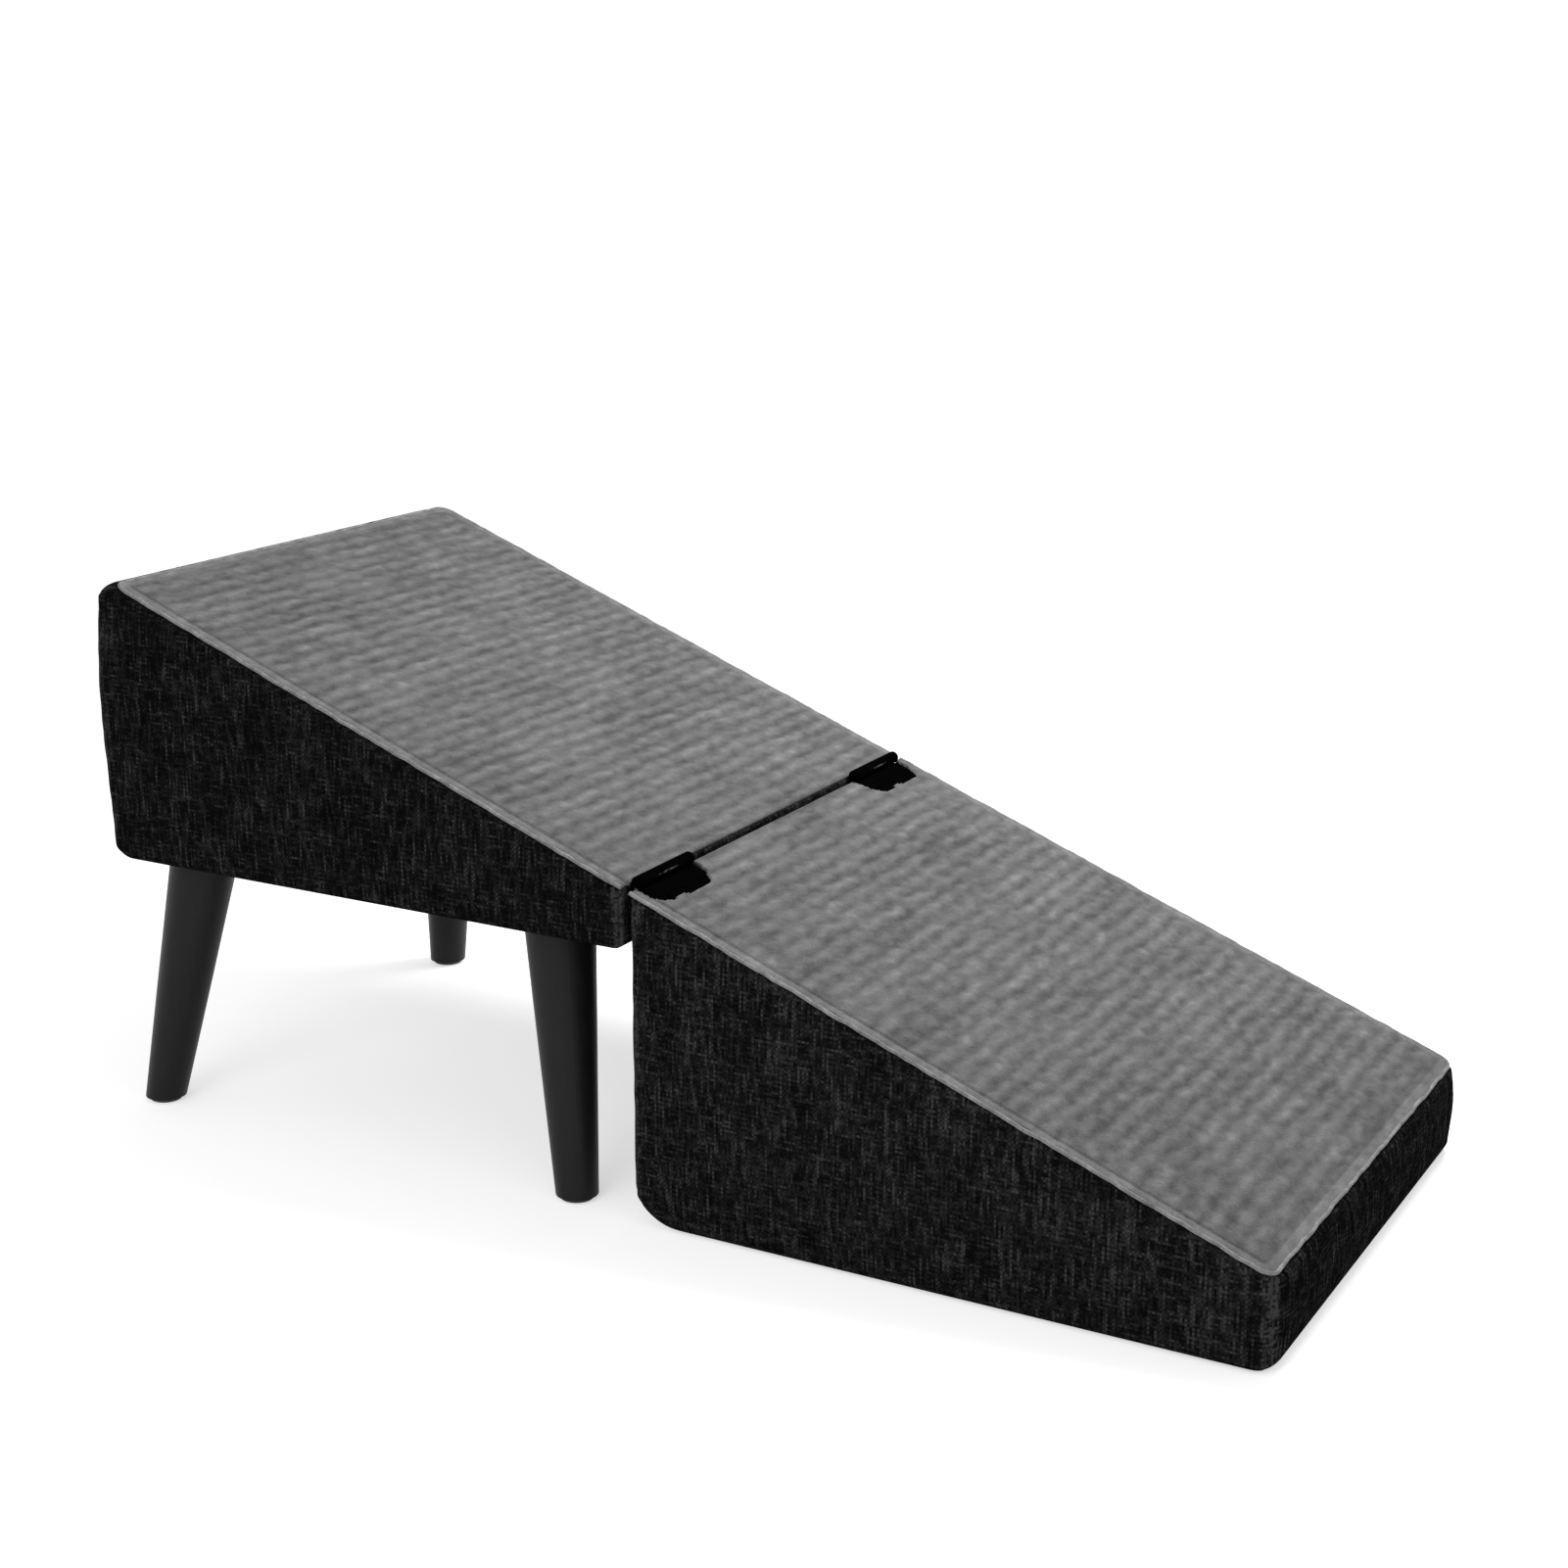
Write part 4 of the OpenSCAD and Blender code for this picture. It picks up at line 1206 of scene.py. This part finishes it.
def stitch_tree():
    tree, size = new_tree(
        "stitches", Pitch=float, Thread=float, Stitch_Length=float, Material=bpy.types.Material,
    )
    dots = points_along(tree, size["Geometry"], size["Pitch"])
    bead = add(tree, "GeometryNodeMeshUVSphere", {"Segments": 8, "Rings": 5, "Radius": 0.5})
    thick = joined(tree, X=size["Thread"], Y=size["Thread"], Z=size["Stitch_Length"])
    one = add(tree, "GeometryNodeTransform", {"Geometry": bead.outputs["Mesh"], "Scale": thick})
    row = add(tree, "GeometryNodeInstanceOnPoints", {
        "Points": dots.outputs["Points"], "Instance": one.outputs[0], "Rotation": dots.outputs["Rotation"],
    })
    close_tree(tree, row.outputs[0], size["Material"])
    return tree


STITCHES = stitch_tree()
STITCH_HEIGHT = 1.6 * MM
STITCH_PITCH = 4.5 * MM
STITCH_LENGTH = 3.4 * MM
THREAD_D = 0.8 * MM


def make_stitches(section):
    mesh = grow(
        STITCHES, chain(edge_line(section, HEM_STITCH, STITCH_HEIGHT)),
        Pitch=STITCH_PITCH, Thread=THREAD_D, Stitch_Length=STITCH_LENGTH, Material=THREAD,
    )
    return laid(section, "edge_stitching", mesh)


stitching = {section.name: make_stitches(section) for section in (UPPER, LOWER)}

for section in (UPPER, LOWER):
    start, end, half = tread_rim(section)
    2 * half
    end - start

# %% [markdown]
# ## Undersides
#
# Each base is closed with a cloth that hides the raw hem. Under the upper section it is a thin dust
# cloth held by staples, which hangs a little lower between them. Under the lower section, which
# lies on the floor, it is a firm cloth with rubber dots against slipping.

# %% The dust cloth with holes for the bushes of the legs
def cloth_grid(low, high, cell, height):
    """A flat grid of points between two corners, with its faces looking down."""
    nx, ny = (round((high[i] - low[i]) / cell) + 1 for i in (0, 1))
    x, y = np.meshgrid(np.linspace(low[0], high[0], nx), np.linspace(low[1], high[1], ny), indexing="ij")
    points = np.stack([x, y, np.full_like(x, height)], axis=2).reshape(-1, 3)
    faces = [
        (i * ny + j, i * ny + j + 1, (i + 1) * ny + j + 1, (i + 1) * ny + j)
        for i in range(nx - 1) for j in range(ny - 1)
    ]
    return points, faces


LEGS = ("rear_left", "rear_right", "front_left", "front_right")
BUSH_HOLE_R = 12 * MM
STAPLE_PITCH = 28 * MM
STAPLE_INSET = 5 * MM
DUST_CLOTH_T = 0.5 * MM
SAG = 1.6 * MM
SAG_REACH = 60 * MM
RIPPLE = 0.35 * MM


def leg_plate(leg):
    """The middle of a leg plate, and half its width."""
    low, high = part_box("leg_plate_" + leg)
    return (low + high) / 2, (high.x - low.x) / 2


def make_dust_cloth():
    low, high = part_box("upper_dust_cloth")
    points, faces = cloth_grid(low, high, 4 * MM, high.z - 0.1 * MM)
    edge = np.minimum.reduce([
        points[:, 0] - low.x, high.x - points[:, 0], points[:, 1] - low.y, high.y - points[:, 1],
    ])
    inner = np.clip((edge - STAPLE_INSET) / SAG_REACH, 0, 1)
    sag = SAG * inner * inner * (3 - 2 * inner)
    wave = np.sin((points[:, 0] + points[:, 1]) * 2 * math.pi / STAPLE_PITCH)
    sag += RIPPLE * (1 + wave) * np.exp(-edge / (9 * MM)) * (edge < SAG_REACH)
    centres = points[np.array(faces)].mean(axis=1)
    open_face = np.zeros(len(faces), bool)
    for middle, half in map(leg_plate, LEGS):
        off = np.abs(points[:, :2] - middle[:2]).max(axis=1) - half
        sag *= np.clip(off / (25 * MM), 0, 1)
        open_face |= np.hypot(centres[:, 0] - middle.x, centres[:, 1] - middle.y) < BUSH_HOLE_R
    points[:, 2] -= sag
    mesh = mesh_of("dust", points, [f for f, gone in zip(faces, open_face) if not gone])
    cloth = piece("upper_dust_sheet", mesh, "upper_section")
    thicken(cloth, DUST_CLOTH_T, 0)
    cloth.data.materials.append(FINISHES["dust_cloth"])
    cloth.data.shade_smooth()
    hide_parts("upper_dust_cloth")


make_dust_cloth()


# %% Staples round the dust cloth
MOST_SKEW = 0.16


def staple_tree():
    tree, size = new_tree(
        "staples", Pitch=float, Crown=float, Wire_Width=float, Wire_Thickness=float, Seed=int,
        Material=bpy.types.Material,
    )
    dots = points_along(tree, size["Geometry"], size["Pitch"])
    wire = joined(tree, X=size["Wire_Width"], Y=size["Wire_Thickness"], Z=size["Crown"])
    crown = add(tree, "GeometryNodeMeshCube", {"Size": wire})
    skew = add(tree, "FunctionNodeRandomValue", {"Seed": size["Seed"]}, data_type="FLOAT")
    skew.inputs[2].default_value = -MOST_SKEW
    skew.inputs[3].default_value = MOST_SKEW
    turned = add(tree, "FunctionNodeRotateRotation", {
        "Rotation": dots.outputs["Rotation"], "Rotate By": joined(tree, Y=skew.outputs[1]),
    }, rotation_space="LOCAL")
    row = add(tree, "GeometryNodeInstanceOnPoints", {
        "Points": dots.outputs["Points"], "Instance": crown.outputs[0], "Rotation": turned.outputs[0],
    })
    close_tree(tree, row.outputs[0], size["Material"])
    return tree


def closed_rectangle(low, high, inset, z):
    x0, x1, y0, y1 = low.x + inset, high.x - inset, low.y + inset, high.y - inset
    return mesh_of("rectangle", [(x0, y0, z), (x1, y0, z), (x1, y1, z), (x0, y1, z)],
                   edges=[(0, 1), (1, 2), (2, 3), (3, 0)])


def make_staples():
    low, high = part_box("upper_dust_cloth")
    mesh = grow(
        staple_tree(), closed_rectangle(low, high, STAPLE_INSET, high.z - 0.7 * MM),
        Pitch=STAPLE_PITCH, Crown=10 * MM, Wire_Width=1.1 * MM, Wire_Thickness=0.6 * MM, Seed=4,
        Material=FINISHES["zinc_steel"],
    )
    piece("upper_dust_sheet_staples", mesh, "upper_section")


make_staples()


# %% The grip cloth and its rubber dots
DOT_PITCH = 9 * MM
DOT_D = 3.4 * MM
DOT_HEIGHT = 0.4 * MM
DOT_SUNK = 0.1 * MM
DOTS_INSET = 6 * MM
GAP_ABOVE = 0.05 * MM


def dot_tree():
    tree, size = new_tree(
        "rubber dots", Pitch=float, Dot=float, Height=float, Length=float, Width=float,
        Material=bpy.types.Material,
    )
    field = add(tree, "GeometryNodeMeshGrid", {
        "Size X": size["Length"], "Size Y": size["Width"],
        "Vertices X": (size["Length"] / size["Pitch"]).math("ROUND") + 1,
        "Vertices Y": (size["Width"] / size["Pitch"]).math("ROUND") + 1,
    })
    disc = add(tree, "GeometryNodeMeshCylinder", {
        "Vertices": 8, "Radius": size["Dot"] * 0.5, "Depth": size["Height"],
    })
    rows = add(tree, "GeometryNodeInstanceOnPoints", {
        "Points": field.outputs["Mesh"], "Instance": disc.outputs["Mesh"],
    })
    close_tree(tree, rows.outputs[0], size["Material"])
    return tree


def follow_base(mesh, section):
    """Bends a flat piece under a section up round the edges of its base."""
    points = np.array([vertex.co for vertex in mesh.vertices])
    points[:, 2] += under_height(section, points[:, 0], points[:, 1]) - section.base
    mesh.vertices.foreach_set("co", points.ravel())
    mesh.update()


def make_grip_cloth():
    low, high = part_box("lower_grip_cloth")
    points, faces = cloth_grid(low, high, 5 * MM, high.z - GAP_ABOVE)
    cloth = piece("lower_grip_sheet", mesh_of("grip", points, faces), "lower_section")
    thicken(cloth, high.z - low.z - DOT_HEIGHT - GAP_ABOVE, -cloth.data.polygons[0].normal.z)
    follow_base(cloth.data, LOWER)
    cloth.data.materials.append(FINISHES["grip_cloth"])
    length, width = (high[i] - low[i] - 2 * DOTS_INSET for i in (0, 1))
    mesh = grow(
        dot_tree(), mesh_of("seed", []), Pitch=DOT_PITCH, Dot=DOT_D, Height=DOT_HEIGHT + DOT_SUNK,
        Length=length, Width=width, Material=FINISHES["glide"],
    )
    middle = (low + high) / 2
    mesh.transform(Matrix.Translation((middle.x, middle.y, low.z + (DOT_HEIGHT + DOT_SUNK) / 2)))
    follow_base(mesh, LOWER)
    dots = piece("lower_grip_dots", mesh, "lower_section")
    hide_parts("lower_grip_cloth")


make_grip_cloth()

# %% [markdown]
# ## Studio
#
# The floor is a plain pale sheet and the light is soft: an even sky and two large lamps, at a level
# where a colour shows as it is written. What the camera sees beyond the object is white. The
# floor keeps the object's shadow, and is clear when seen from below, to show the undersides.

# %% Floor, sky and lamps
def white_to_camera(tree):
    """1 for rays from the camera and for reflections of them, 0 for light on the object."""
    path = add(tree, "ShaderNodeLightPath")
    seen = Wire(tree, path.outputs["Is Camera Ray"])
    return seen.math("MAXIMUM", Wire(tree, path.outputs["Is Glossy Ray"])).math(
        "MAXIMUM", Wire(tree, path.outputs["Is Transmission Ray"]))


SKY_LIGHT = 0.5
FLOOR_GLOW = 0.56
world = bpy.data.worlds.new("studio")
bpy.context.scene.world = world
world.use_nodes = True
sky = world.node_tree
background = sky.nodes["Background"]
background.inputs["Color"].default_value = (1, 1, 1, 1)
plug(sky, white_to_camera(sky) * (1 - SKY_LIGHT) + SKY_LIGHT, background.inputs["Strength"])

floor_mesh = mesh_of("floor", [(-30, -30, 0), (30, -30, 0), (30, 30, 0), (-30, 30, 0)], [(0, 1, 2, 3)])
floor = bpy.data.objects.new("floor", floor_mesh)
floor.location.z = -0.1 * MM
bpy.context.scene.collection.objects.link(floor)
material, tree, shader = new_finish(
    "floor", Base_Color=(0.9, 0.9, 0.9, 1), Roughness=0.9, Specular_IOR_Level=0.0,
    Emission_Color=(1, 1, 1, 1),
)
plug(tree, white_to_camera(tree) * FLOOR_GLOW, shader.inputs["Emission Strength"])
from_below = Wire(tree, add(tree, "ShaderNodeNewGeometry").outputs["Backfacing"])
plug(tree, 1 - from_below, shader.inputs["Alpha"])
floor_mesh.materials.append(material)


def lamp(name, at, size, power):
    data = bpy.data.lights.new(name, "AREA")
    data.shape = "DISK"
    data.size = size
    data.energy = power
    made = bpy.data.objects.new(name, data)
    made.location = at
    made.rotation_euler = (Vector((0, 0, 0.2)) - Vector(at)).to_track_quat("-Z", "Y").to_euler()
    bpy.context.scene.collection.objects.link(made)


lamp("key", (0.3, 0.45, 1.2), 0.7, 13.8)
lamp("fill", (0.0, -3.2, 1.9), 2.4, 28)
bpy.context.scene.view_settings.view_transform = "Standard"
